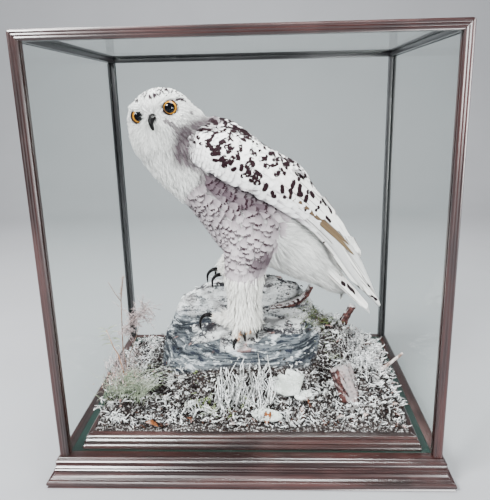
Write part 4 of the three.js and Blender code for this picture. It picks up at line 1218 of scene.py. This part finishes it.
def spines_over(surface, roots, ways, lengths, steps, guides=None):
    """Lays a line of the given length over a surface from each root, following the lie."""
    spots = np.empty((len(roots), steps + 1, 3))
    facing = np.empty_like(spots)
    for index in range(len(roots)):
        place, way = Vector(roots[index]), Vector(ways[index])
        stride = float(lengths[index]) / steps
        last = None
        for step in range(steps + 1):
            spot, normal, face, _ = surface.find_nearest(place)
            if last is not None and normal.dot(last) < SHARP_TURN:
                spot, normal = place, last
            else:
                normal = normal if last is None else (normal + last).normalized()
                if guides is not None:
                    way = way * 0.65 + guides[face] * 0.35
                way = (way - normal * way.dot(normal)).normalized()
            spots[index, step], facing[index, step] = spot, normal
            place, last = spot + way * stride, normal
    return spots, facing


def pattern(rows, faces):
    """One feather's points: share along it, share across it, rise and tone; and its faces."""
    table = np.array(rows, float)
    return table[:, 0], table[:, 1], table[:, 2], table[:, 3], faces


def tuft_pattern(dice, strands, thickness):
    """Thin strands fanned from one root in a ridge, and drawn together again towards the tip."""
    rows, faces = [], []
    for strand in range(strands):
        lean = (2 * strand + 1) / strands - 1 + dice.uniform(-0.15, 0.15)
        reach, rise, tone = dice.uniform(0.66, 1), dice.uniform(-0.25, 0.4), dice.uniform(0, 0.3)
        first = len(rows)
        for share, part, fan in ((0.0, 0.8, 0.35), (0.4, 1.0, 0.95), (0.76, 0.7, 0.85)):
            for edge in (-1, 1):
                across = lean * fan + edge * part * thickness
                rows.append((share * reach, across, rise * share - 0.75 * across**2, tone))
        rows.append((reach, lean * 0.55, rise, tone))
        strip = [(0, 1, 3, 2), (2, 3, 5, 4), (4, 5, 6)]
        faces += [tuple(first + i for i in face) for face in strip]
    return pattern(rows, faces)


def plume_pattern(dice, barbs=9):
    """A round body feather made of flat barbs that part at its edge."""
    rows, faces = [], []
    for barb in range(barbs):
        lean = (2 * barb + 1) / barbs - 1
        reach = (1 - 0.27 * lean**2) * dice.uniform(0.84, 1.04)
        first = len(rows)
        for share, part in ((0.0, 0.5), (0.4, 1.0), (0.72, 0.95), (0.91, 0.6)):
            out = lean * (1 - (1 - share) ** 1.8) * 0.95
            for edge in (-1, 1):
                across = out + edge * part * 1.45 / barbs
                rows.append((share * reach, across, -0.20 * across**2, 0))
        rows.append((reach, lean + dice.uniform(-0.05, 0.05), -0.16 * lean**2, 0))
        strip = [(0, 1, 3, 2), (2, 3, 5, 4), (4, 5, 7, 6), (6, 7, 8)]
        faces += [tuple(first + i for i in face) for face in strip]
    return pattern(rows, faces)


def vane_pattern(rows_along, narrow, tip, columns=5):
    """A closed vane with a rounded tip and a slight arch across it."""
    rows = []
    for share in np.linspace(0, 1, rows_along) ** 0.85:
        width = narrow + (1 - narrow) * min(1, share / 0.3) ** 0.7
        if share > tip:
            width *= math.sqrt(max(0.02, 1 - ((share - tip) / (1 - tip)) ** 2))
        for column in np.linspace(-1, 1, columns):
            rows.append((share, column * width, -0.15 * (column * width) ** 2, 0))
    faces = [
        (r * columns + c, r * columns + c + 1, (r + 1) * columns + c + 1, (r + 1) * columns + c)
        for r in range(rows_along - 1) for c in range(columns - 1)
    ]
    return pattern(rows, faces)


def feathers(name, spots, facing, width, lift, patterns, roots_uv, material, slot, seed,
             spotted=False, marks=None):
    """Joined pieces of mesh with a feather on each spine. lift is its height at root and tip."""
    dice = np.random.default_rng(seed)
    count, steps = len(spots), spots.shape[1] - 1
    marks = np.zeros((count, 3)) if marks is None else marks
    width = np.broadcast_to(width, count)
    lift = np.broadcast_to(np.asarray(lift, float), (count, 2))
    ways = unit(np.gradient(spots, axis=1))
    chosen = dice.integers(0, len(patterns), count)
    chance = dice.random(count)
    by_size = max(sum(len(face) - 2 for face in one[4]) for one in patterns)
    lots = np.array_split(np.arange(count), max(1, math.ceil(count * by_size / MOST_TRIANGLES)))
    for number, lot in enumerate(lots):
        points, feather, mark, patch, corners, sizes = [], [], [], [], [], []
        total = 0
        for index, (along, across, rise, tone, faces) in enumerate(patterns):
            own = lot[chosen[lot] == index]
            if not len(own):
                continue
            step = np.minimum((along * steps).astype(int), steps - 1)
            share = (along * steps - step)[None, :, None]
            middle, up, way = (
                blend(line[own][:, step], line[own][:, step + 1], share)
                for line in (spots, facing, ways)
            )
            up, way = unit(up), unit(way)
            sideways = np.cross(way, up)
            height = lift[own, :1] + (lift[own, 1:] - lift[own, :1]) * along**0.9
            height = height + rise * width[own, None]
            shape = middle + sideways * (across * width[own, None])[..., None]
            points.append((shape + up * height[..., None]).reshape(-1, 3))
            ones = np.ones((len(own), 1))
            feather.append(np.stack([
                ones * across, ones * along, (chance[own, None] + tone) % 1,
            ], axis=2).reshape(-1, 3))
            own_marks = np.repeat(marks[own], len(along), axis=0)
            if spotted:
                own_marks[:, 1] = blotch_and_shadow_at(to_bird(shape.reshape(-1, 3)))
            mark.append(own_marks)
            local = np.stack([across * 0.5, along - 0.5], axis=1) * UV_PATCH
            patch.append((roots_uv[own][:, None] + local[None]).reshape(-1, 2))
            flat = np.concatenate([np.array(face) for face in faces])
            offsets = total + np.arange(len(own)) * len(along)
            corners.append((flat[None] + offsets[:, None]).ravel())
            sizes.append(np.tile([len(face) for face in faces], len(own)))
            total += len(own) * len(along)
        points, corners, sizes = np.concatenate(points), np.concatenate(corners), np.concatenate(sizes)
        mesh = bpy.data.meshes.new(f"{name}_{number + 1}")
        mesh.vertices.add(len(points))
        mesh.vertices.foreach_set("co", points.astype(np.float32).ravel())
        mesh.loops.add(len(corners))
        mesh.loops.foreach_set("vertex_index", corners.astype(np.int32))
        mesh.polygons.add(len(sizes))
        starts = np.concatenate([[0], np.cumsum(sizes)[:-1]])
        mesh.polygons.foreach_set("loop_start", starts.astype(np.int32))
        mesh.update(calc_edges=True)
        put(mesh, "feather", np.concatenate(feather))
        put(mesh, "mark", np.concatenate(mark))
        mesh.uv_layers.new(name="OFBake").uv.foreach_set(
            "vector", np.concatenate(patch)[corners].astype(np.float32).ravel()
        )
        covered(mesh, material)
        fix(placed(mesh.name, mesh), slot)


SPOT_INK, BAR_INK = (0.011, 0.004, 0.006), (0.016, 0.005, 0.009)
PALE_INK = (0.12, 0.08, 0.08)


def plumage(name, white, base, ink, loose=0.3, painted_edge_shade=0.0, fade=(0.15, 0.9), spotted=False):
    """Feather colour: a bar and a blotch near the tip where the feather is marked, barbs, painted shade
    from the third mark and painted shade along the vane's edges.
    """
    material, place = new_material(name)
    across, along, chance = place.kept("feather").parts()
    bar, spot, shade = place.kept("mark").parts()
    wobble = place.noise(230, 2) - 0.5
    bend = across * across
    crest = along + 0.10 * bend + 0.16 * wobble
    band = crest.step(0.73, 0.76) - crest.step(0.91, 0.94)
    broken = place.noise(150, 1).step(0.30, 0.38)
    barbs = across.sum("SINE", along * 260 - bend * 60)
    if spotted:
        blotch = (spot + 0.36 * wobble + 0.03 * barbs).step(0.46, 0.54)
    else:
        stretch = (along - 0.85) * 6.2 + wobble
        reach = (bend * 1.2 + stretch**2.0) ** 0.5 + 1.2 * wobble
        blotch = (reach - spot * 1.2).step(0.05, -0.05) * (spot > 0.02)
    tone = along.step(*fade) * (1 - loose) + chance * loose
    colour = tone.between(base, white)
    # Painted shade from the third mark, in soft purple-grey; its strongest values are the real dark
    # spots, in ink.
    colour = shade.deepened().between(colour, (0.070, 0.046, 0.058))
    colour = (band * broken * bar).between(colour, BAR_INK)
    colour = shade.step(0.88, 0.95).between(colour, ink)
    # Painted shade along the vane's edges, where the next feather overlaps it.
    if painted_edge_shade:
        rim = across.sum("ABSOLUTE", across).step(0.66, 0.96)
        colour = (rim * painted_edge_shade).between(colour, (0.050, 0.034, 0.038))
    colour = blotch.between(colour, ink)
    return principled(material, place, {
        "Base Color": colour,
        "Roughness": 0.72,
        "Specular IOR Level": 0.06,
        "Normal": barbs.bumps(0.25, 0.00012),
    })


WHITE, BASE = (0.90, 0.875, 0.86), (0.42, 0.40, 0.40)
SOFT_WHITE = (0.84, 0.80, 0.81)
down_white = plumage("white_down", WHITE, BASE, (0.020, 0.011, 0.015), loose=0.6)
toe_tan = plumage("toe_down", (0.62, 0.40, 0.26), (0.30, 0.13, 0.06), PALE_INK)
down_cream = plumage("leg_down", (0.90, 0.87, 0.84), (0.55, 0.51, 0.48), PALE_INK, loose=0.6)
barred_white = plumage("barred_feathers", (0.50, 0.435, 0.460), (0.23, 0.185, 0.205),
                       (0.030, 0.013, 0.020))
spotted_white = plumage("spotted_feathers", SOFT_WHITE, BASE, SPOT_INK, spotted=True)

dice = np.random.default_rng(7)
tufts = [tuft_pattern(dice, 5, 0.20) for _ in range(6)]
long_tufts = [tuft_pattern(dice, 6, 0.16) for _ in range(6)]
plumes = [plume_pattern(dice) for _ in range(6)]

part_of = np.array(kinds)[tract]
barred_area = bars_at(in_bird)
near_eye = np.min([np.linalg.norm(in_head - eye, axis=1) for eye in EYES.values()], axis=0)
x, y, z = in_bird.T
open_face = (near_eye > 13.6) | (part_of != "head")
to_toe_tip = np.linalg.norm(in_bird[:, None] - TOE_TIPS, axis=2).min(1)
off_the_claws, near_claws = to_toe_tip > 5.5, to_toe_tip < 11
brow = (part_of == "head") & (near_eye > 13.4) & (near_eye < 23) & (in_head[:, 2] > 15) & (
    np.abs(in_head[:, 0]) < 40
)
lores = (part_of == "head") & (np.linalg.norm(in_head - (0, -54, -2), axis=1) < 19) & (
    np.abs(in_head[:, 0]) > 4.5
)
nape = (part_of == "neck") & (x > -98) & (z > 556)
at_back = nape | ((z > 500 - 0.95 * (x - 20)) & (part_of == "trunk"))
behind = (60 - x + 0.62 * (z - 414) < 6) & (part_of == "trunk") & ~at_back
white_trunk = (part_of == "trunk") & (barred_area < 0.3) & ~at_back & ~behind

CROWN_SPOTS = [  # in the head's own frame
    (14, -16, 46), (9, -30, 42), (15, -32, 41), (28, -34, 35), (52, -27, 20), (57, -21, 18),
    (43, -36, 25), (-6, -18, 46), (-18, -20, 44), (-31, -24, 38), (24, -8, 44), (36, -6, 38),
    (2, -4, 48), (-14, 0, 46), (40, 8, 36), (12, 14, 46), (-30, 6, 40), (54, -2, 26),
    (-40, -28, 30), (-26, -32, 38), (-11, -30, 43), (1, -37, 39), (21, -23, 44), (36, -25, 38),
    (49, -17, 30), (47, -30, 24), (-48, -14, 26), (30, -16, 42),
]
CHEEK_BARS = [(27, -57, -17), (34, -55, -26), (40, -51, -33), (63, -20, -12)]

#        piece, where, gap, length, half width, height at root and tip, patterns, cloth, slot (mm)
TRACTS = {
    "face_down": ((part_of == "head") & open_face, 2.6, 12.5, 1.9, (0.4, 3.7), tufts,
                  down_white, "plumage_white"),
    "bib_down": (((part_of == "neck") & ~nape) | white_trunk, 3.3, 23.0, 2.4, (0.5, 7.0), long_tufts,
                 down_white, "plumage_white"),
    "breast_feathers": (np.isin(part_of, ("trunk", "thigh")) & ~behind & ~white_trunk & ~at_back
                        & (z > 312), 9.4, 28.0, 8.4, (1.6, 4.4), plumes, barred_white,
                        "plumage_barred"),
    "back_feathers": (at_back, 6.4, 26.0, 7.2, (0.6, 4.6), plumes, spotted_white,
                      "plumage_spotted"),
    "undertail_down": (behind, 3.8, 32.0, 3.2, (0.6, 6.4), long_tufts, down_white,
                       "plumage_white"),
    "leg_down": ((part_of == "shank") | ((part_of == "thigh") & (z < 318)), 3.0, 21.0, 2.0,
                 (0.5, 9.5), long_tufts, down_cream, "plumage_white"),
    "brow_down": (brow, 2.8, 12.5, 1.9, (1.2, 5.5), tufts, down_white, "plumage_white"),
    "bill_bristles": (lores, 2.2, 11.5, 1.0, (0.8, 4.2), tufts, down_white, "plumage_white"),
    "toe_down": ((part_of == "foot") & off_the_claws & near_claws, 2.2, 7.0, 1.3, (0.2, 1.8), tufts,
                 toe_tan, "plumage_white"),
    "foot_down": ((part_of == "foot") & off_the_claws & ~near_claws, 2.3, 15.0, 1.6, (0.5, 7.0),
                  tufts, down_cream, "plumage_white"),
    "wing_lining": (part_of == "wing", 5.2, 14.0, 4.6, (0.3, 2.4), plumes, down_white,
                    "plumage_white"),
}
for seed, (name, row) in enumerate(TRACTS.items()):
    where, gap, length, half_width, lift, patterns, material, slot = row
    face, share = scattered(np.where(where, gap * MM, np.inf), seed)
    corner = tris[face]
    roots, ways, roots_uv = (
        (values * share[..., None]).sum(1) for values in (places[corner], lie[corner], tri_uv[face])
    )
    ways = unit(ways)
    dice = np.random.default_rng(100 + seed)
    home = to_bird(roots)
    stray = 0.34 if name in ("leg_down", "foot_down", "bib_down") else 0.17
    ways = unit(ways + stray * dice.standard_normal(ways.shape))
    if name == "leg_down":
        low = rising(-home[:, 2], -300, -225)
        length = length * (1 + 0.25 * low)
    length = length * MM * dice.uniform(0.8, 1.15, len(roots))
    if name in ("brow_down", "bill_bristles"):
        which = np.sign(to_head(roots)[:, :1])
        slant = (which, 0.15, 0.30) if name == "brow_down" else (which * 0.35, -0.45, -0.85)
        slant = np.concatenate([which * 0 + part for part in slant], axis=1)
        ways = unit(unit(slant @ head_axes.T @ bird_axes.T) + 0.1 * dice.standard_normal(ways.shape))
    if name == "face_down":
        gap_to_eye = (near_eye[corner] * share).sum(1)
        length = length * (0.42 + 0.58 * rising(gap_to_eye, 13, 34))
    steps = 4 if "feathers" in name else 3
    guides = None if name in ("brow_down", "bill_bristles") else face_lie
    spots, facing = spines_over(skin_tree, roots, ways, length, steps, guides)
    tip = to_bird(spots[:, -1])
    marks = np.zeros((len(roots), 3))
    # The third mark carries painted shade below the head, the wing and the thigh's hem.
    marks[:, 2] = painted_shade_at(tip) * dice.uniform(0.7, 1, len(roots))
    if name == "face_down":
        head_tip = to_head(spots[:, -1])
        for group, size, tone in ((CROWN_SPOTS, 4.2, 1.0), (CHEEK_BARS, 3.6, 0.55)):
            apart = unit(head_tip)[:, None] - unit(np.array(group, float))
            gap = 50 * np.linalg.norm(apart, axis=2).min(1)
            marks[:, 2] = np.maximum(marks[:, 2], (gap < size) * tone)
        hind = (head_tip[:, 2] > 26) & (head_tip[:, 1] > -24)
        marks[:, 2] = np.maximum(marks[:, 2], hind * (dice.random(len(roots)) < 0.09))
        # Tufts beside the bill are darkened a little at random, as painted shade between the eyes and
        # the bill.
        by_bill = near_line(head_tip, (0, -54, -2), (0, -46, 12), 15)
        marks[:, 2] = np.maximum(marks[:, 2], 0.30 * by_bill * dice.random(len(roots)))
    if name == "breast_feathers":
        marks[:, 0] = bars_at(tip) * (dice.random(len(roots)) < 0.94) * dice.uniform(0.8, 1, len(roots))
    if name == "back_feathers":
        on_top = np.abs(home[:, 1]) < 34
        marks[:, 0] = on_top * (dice.random(len(roots)) < 0.55)
    spread = 0.15 if "feathers" in name else 0.55
    lifts = np.array(lift) * MM * dice.uniform(1 - spread, 1 + spread / 2, (len(roots), 1))
    if name == "leg_down":
        lifts = lifts * (1 + 0.5 * low[:, None])
    feathers(name, spots, facing, half_width * MM, lifts, patterns, roots_uv, material, slot,
             200 + seed, spotted=name == "back_feathers", marks=marks)

# ---------------------------------------------------------------- wings
# Each folded wing is shingled from the shoulder down: small scale-like coverts that grow larger,
# then the tertials in a close stack over a wedge of inner vanes in buff painted shade, and the
# white primaries, which run out to the tip. Rows of dark blotches lie across the coverts.
COVERT_END = 0.56  # share of the wing's length where the last row is rooted
COVERTS = ((4.6, 5.0), (15, 33), (6.5, 7.5))  # half width, length and row gap, and their growth
WING_LENGTH = 560
# The last column marks the inner vanes under the tertials, which carry painted shade in a dull buff.
QUILLS = [  # root and tip along and up the wing, half width and height in mm, buff
    (0.36, 0.03, 0.880, 0.02, 7.5, -2.2, 0), (0.38, 0.08, 0.955, 0.06, 7.5, -2.0, 0),
    (0.40, 0.13, 1.000, 0.30, 8.0, -1.8, 0), (0.41, 0.18, 0.990, 0.52, 8.0, -1.6, 0),
    (0.42, 0.23, 0.965, 0.68, 8.0, -1.4, 0), (0.43, 0.28, 0.930, 0.78, 8.0, -1.2, 0),
    (0.48, 0.32, 0.815, 0.80, 5.6, 0.5, 1), (0.48, 0.38, 0.780, 0.82, 4.8, 0.6, 1),
    (0.42, 0.50, 0.650, 0.62, 7.5, 0.7, 0), (0.42, 0.58, 0.720, 0.78, 8.0, 0.9, 0),
    (0.42, 0.66, 0.765, 0.88, 8.5, 1.0, 0), (0.42, 0.76, 0.800, 0.94, 8.5, 1.1, 0),
    (0.42, 0.86, 0.830, 0.98, 8.5, 1.2, 0), (0.42, 0.93, 0.850, 1.00, 8.5, 1.3, 0),
]


def skin_uv(points):
    """The place on the skin's unwrap that is nearest to each point."""
    found = np.empty((len(points), 2))
    for index, one in enumerate(points):
        spot, _, face, _ = skin_tree.find_nearest(Vector(one))
        a, b, c = (Vector(corner) for corner in places[tris[face]])
        whole = (b - a).cross(c - a).length
        shares = np.array([
            (b - spot).cross(c - spot).length, (c - spot).cross(a - spot).length,
            (a - spot).cross(b - spot).length,
        ]) / max(whole, 1e-12)
        found[index] = (tri_uv[face] * shares[:, None]).sum(0) / max(shares.sum(), 1e-9)
    return found


def laid_on(surface, points):
    """Spines through points in the bird's frame, dropped on a surface from the wing's outside."""
    count, along = points.shape[:2]
    spots, facing = np.empty((count, along, 3)), np.empty((count, along, 3))
    flat = from_bird(points)
    for index in range(count):
        for step in range(along):
            spot, normal, _, _ = surface.find_nearest(Vector(flat[index, step]))
            spots[index, step], facing[index, step] = spot, normal
    for _ in range(2):
        facing[:, 1:-1] = unit(facing[:, :-2] + facing[:, 1:-1] + facing[:, 2:])
        spots[:, 1:-1] = (spots[:, :-2] + 2 * spots[:, 1:-1] + spots[:, 2:]) / 4
    return spots, unit(facing)


def feather_bed(name, node, inset):
    """What stands for a CAD form under its long feathers: the same form, drawn in by an inset."""
    bed = welded_copy(name, node)
    with edited(bed.data) as form:
        bmesh.ops.triangulate(form, faces=form.faces)
        push_out(form, lambda place: -inset)
    covered(bed.data, skin_material)
    put(bed.data, "mark", np.zeros((len(bed.data.vertices), 3)))
    fix(bed, "plumage_white", node)


covert_white = plumage("covert_vanes", SOFT_WHITE, (0.34, 0.30, 0.32), SPOT_INK, loose=0.2,
                       painted_edge_shade=0.3, fade=(0.40, 0.80), spotted=True)
quill_white = plumage("quill_vanes", (0.85, 0.82, 0.80), (0.70, 0.65, 0.64), SPOT_INK, loose=0.2,
                      painted_edge_shade=0.9, spotted=True)
# The inner vanes under the tertials carry painted shade in a dull buff.
shaded_buff_quill = plumage("shaded_buff_vanes", (0.17, 0.115, 0.065), (0.09, 0.055, 0.035), SPOT_INK,
                     loose=0.5, painted_edge_shade=0.7)
covert_patterns = [vane_pattern(15, 0.45, edge, 9) for edge in (0.66, 0.72, 0.78)]
quill_patterns, buff_patterns = [vane_pattern(70, 0.55, 0.88, 7)], [vane_pattern(60, 0.40, 0.42, 7)]
for side, sign in SIDES.items():
    outside = tree_of(f"wing_{side}", f"flight_feathers_{side}")
    dice = np.random.default_rng(31 if side == "left" else 32)
    home, along, row = [], 0.015, 0
    while along < COVERT_END:
        growth = along / COVERT_END
        half, length, row_gap = (start + more * growth for start, more in COVERTS)
        low, high = wing_place([along, along], [0, 1], sign)
        many = max(3, round(1.22 * np.linalg.norm(high - low) / (1.25 * half)))
        for slot_number in range(many):
            across = (slot_number + 0.5 + 0.5 * (row % 2)) / (many + 0.5)
            home.append((
                along + dice.uniform(-0.003, 0.003), min(across + dice.uniform(-0.01, 0.01), 1.0),
                half * dice.uniform(0.9, 1.1), length * dice.uniform(0.92, 1.1),
            ))
        along += row_gap / WING_LENGTH
        row += 1
    home = np.array(home)
    shares = np.linspace(0, 1, 6)
    reach = home[:, 3] / WING_LENGTH
    path = wing_place(
        home[:, :1] + reach[:, None] * shares,
        home[:, 1:2] + (0.5 - home[:, 1:2]) * 0.04 * shares, sign,
    )
    spots, facing = laid_on(outside, path)
    feathers(f"coverts_{side}", spots, facing, home[:, 2] * MM, (-3.2 * MM, -0.1 * MM),
             covert_patterns, skin_uv(spots[:, 0]), covert_white, "plumage_spotted", 41,
             spotted=True)

    feather_bed(f"quill_bed_{side}", f"flight_feathers_{side}", 2.4 * MM)
    quills = np.array(QUILLS)
    for buff, kind, material, patterns in (
        (0, "quills", quill_white, quill_patterns), (1, "shaded_buff_quills", shaded_buff_quill, buff_patterns),
    ):
        own = quills[quills[:, 6] == buff]
        shares = np.linspace(0, 1, 15)
        path = wing_place(
            own[:, :1] + (own[:, 2:3] - own[:, :1]) * shares,
            own[:, 1:2] + (own[:, 3:4] - own[:, 1:2]) * shares**2, sign,
        )
        spots, facing = laid_on(outside, path)
        lifts = np.stack([own[:, 5] - 1.4, own[:, 5]], axis=1) * MM
        feathers(f"{kind}_{side}", spots, facing, own[:, 4] * MM, lifts, patterns,
                 skin_uv(spots[:, 0]), material, "plumage_white", 43, spotted=not buff)

# ---------------------------------------------------------------- tail
# The tail is a closed fan of long white feathers with a slight arch across it. They are laid in
# two leaves, above and below the bed of quill roots that is wired to the skin.
TAIL_BASE, TAIL_TIP = np.array([110, 0, 366]), np.array([242, 0, 208])
TAIL_HALF = (31, 37)
TAIL_DROP = (21, 7)  # of the outer feathers below the middle ones, at the base and the tip
TAIL_THICK = (4.0, 0.9)
BLADES, BLADE_HALF, BOW = 17, 6.0, 9
tail_patterns = [vane_pattern(70, 0.6, 0.74, 7)]
across_tail = np.array([0, 1, 0])
tail_up = unit(np.cross(TAIL_TIP - TAIL_BASE, across_tail))
tail_up = tail_up * np.sign(tail_up[2])
blades = np.linspace(-1, 1, BLADES)
shares = np.linspace(0, 1, 11)[None, :, None]
bow = BOW * np.sin(np.pi * shares)
half, drop, thick = (
    first + (last - first) * shares for first, last in (TAIL_HALF, TAIL_DROP, TAIL_THICK)
)
half = half - 4 + bow
for leaf, sign in (("upper", 1), ("lower", -1)):
    run = TAIL_TIP - TAIL_BASE - unit(TAIL_TIP - TAIL_BASE) * (9 * blades[:, None] ** 2)
    across = blades[:, None, None]
    height = (thick + 1.2 - 1.1 * np.abs(across)) * sign - drop * across**2
    path = TAIL_BASE + run[:, None] * shares + across * half * across_tail + tail_up * height
    spots = from_bird(path)
    lean = unit(tail_up + 0.9 * across * across_tail + np.zeros_like(path))
    facing = sign * lean @ bird_axes.T
    feathers(f"tail_{leaf}", spots, facing, BLADE_HALF * MM, np.array([[-0.5, 0.2]]) * MM,
             tail_patterns, skin_uv(spots[:, 0]), quill_white, "plumage_white", 51, spotted=True)
feather_bed("tail_bed", "tail", 1.3 * MM)

# ---------------------------------------------------------------- eyes
# Blown glass eyes are set in dark rims: a black pupil with an orange-yellow iris round it, under
# a clear domed front. The rims are the bare black edges of the lids.
EYE_RADIUS, IRIS_RADIUS = 13.3, 11.3
EYE_RINGS, EYE_SPOKES, LID_SPOKES, LID_SIDES = 33, 48, 72, 8
GAZE = {"left": (0.25, -0.96, 0.03), "right": (0.46, -0.88, 0.0)}
LID_AXIS = {"left": (0.46, -0.87, 0.10), "right": (0.20, -0.98, 0.05)}
iris_glass, place = new_material("eye_glass")
ring = place.kept("ring")
radius = ring.parts()[1]
fibres = ring.stretched(14, 1.5, 1).noise(1.0, 3)
iris = fibres.step(0.3, 0.7).between((0.30, 0.115, 0.003), (0.48, 0.215, 0.006))
iris = radius.step(0.84, 0.78).between(iris, (0.20, 0.07, 0.005))
iris = radius.step(0.93, 1.0).between(iris, (0.10, 0.035, 0.008))
pupil = radius.step(0.775, 0.795)
colour = pupil.between((0.002, 0.002, 0.003), iris)
colour = radius.step(1.04, 1.08).between(colour, (0.006, 0.005, 0.006))
principled(iris_glass, place, {
    "Base Color": colour,
    "Roughness": 0.08 + 0.03 * fibres,
    "Specular IOR Level": 0.1,
    "Coat Weight": 0.18,
    "Coat Roughness": 0.02,
})
lid_skin, place = new_material("lid_rim")
folds = place.noise(900, 3)
principled(lid_skin, place, {
    "Base Color": folds.between((0.006, 0.004, 0.005), (0.022, 0.014, 0.014)),
    "Roughness": 0.5 + 0.2 * folds,
    "Specular IOR Level": 0.1,
    "Normal": folds.bumps(0.4, 0.0003),
})


def round_about(way):
    """A direction, and two more that are square to it and to each other."""
    way = unit(np.array(way))
    first = unit(np.cross(way, (0, 0, 1)))
    return way, first, np.cross(first, way)


for side in SIDES:
    centre = EYES[side]
    gaze, first, second = round_about(GAZE[side])
    points, rings = [], []
    for ring_number in range(EYE_RINGS):
        angle = math.radians(2.6 * ring_number + 0.01)
        bulge = 1 + 0.035 * math.exp(-((angle / 0.62) ** 2))
        for spoke in range(EYE_SPOKES):
            spin = math.tau * spoke / EYE_SPOKES
            way = math.cos(angle) * gaze + math.sin(angle) * (
                math.cos(spin) * first + math.sin(spin) * second
            )
            points.append(from_head(centre + way * EYE_RADIUS * bulge))
            rings.append((
                math.cos(spin) * 2, EYE_RADIUS * math.sin(angle) / IRIS_RADIUS, math.sin(spin) * 2,
            ))
    faces = [(a, d, c, b) for a, b, c, d in tube(0, EYE_RINGS, EYE_SPOKES)]
    eye = mesh_object(f"glass_eye_{side}", points, faces, iris_glass)
    put(eye.data, "ring", np.array(rings))
    fix(eye, "eye_glass", f"eye_{side}")

    points = []
    gaze, first, second = round_about(LID_AXIS[side])
    open_angle = math.asin(min(0.99, IRIS_RADIUS / EYE_RADIUS)) + 0.03
    for spoke in range(LID_SPOKES):
        spin = math.tau * spoke / LID_SPOKES
        outward = math.cos(spin) * first + math.sin(spin) * second
        for step in range(LID_SIDES):
            turn_round = math.tau * step / LID_SIDES
            angle = open_angle + 0.07 + 0.10 * math.cos(turn_round)
            reach = EYE_RADIUS + 0.3 + 0.9 * math.sin(turn_round)
            way = math.cos(angle) * gaze + math.sin(angle) * outward
            points.append(from_head(centre + way * reach))
    faces = [
        (a, d % len(points), c % len(points), b)
        for a, b, c, d in tube(0, LID_SPOKES + 1, LID_SIDES)
    ]
    rim = mesh_object(f"lid_rim_{side}", points, faces, lid_skin)
    fix(rim, "horn")

# ---------------------------------------------------------------- bill and claws
# The bill and claws are the bird's own horn, polished black with browner flecks, and the
# claws leave bare orange skin at the toes' ends.
horn, place = new_material("black_horn")
worn = place.noise(160, 3)
fine = place.noise(900, 2)
principled(horn, place, {
    "Base Color": worn.step(0.35, 0.75).between((0.002, 0.002, 0.0025), (0.010, 0.007, 0.007)),
    "Roughness": 0.24 + 0.2 * fine,
    "Specular IOR Level": 0.09,
    "Normal": fine.bumps(0.15, 0.0002),
})
HORN_SWELL = {"bill": (1.2, 1.2), "claw": (2.2, 0.6)}  # mm at root and point, lost in rounding
horn_roots = [Vector(from_head(BILL_BASE))] + [Vector(from_bird(toe)) for toe in TOE_TIPS]
for node in sorted(nodes):
    kind = node.split("_")[0]
    if kind not in HORN_SWELL:
        continue
    form = welded_copy(node + "_horn", node)
    covered(form.data, horn)
    places_on = [point.co.copy() for point in form.data.vertices]
    root = min(horn_roots, key=lambda one: min((place - one).length for place in places_on))
    reach = max((place - root).length for place in places_on)
    ways_out = [point.normal.copy() for point in form.data.vertices]
    at_root, at_point = HORN_SWELL[kind]
    for point, way in zip(form.data.vertices, ways_out):
        along = (point.co - root).length / reach
        point.co += way * (at_root + (at_point - at_root) * along) * MM
    rounded = form.modifiers.new("rounded", "SUBSURF")
    rounded.levels = rounded.render_levels = 2
    fix(form, "horn", node)

# ---------------------------------------------------------------- the size of the finished model
# The lowest and the highest corner of the finished model, in metres.
low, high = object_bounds()
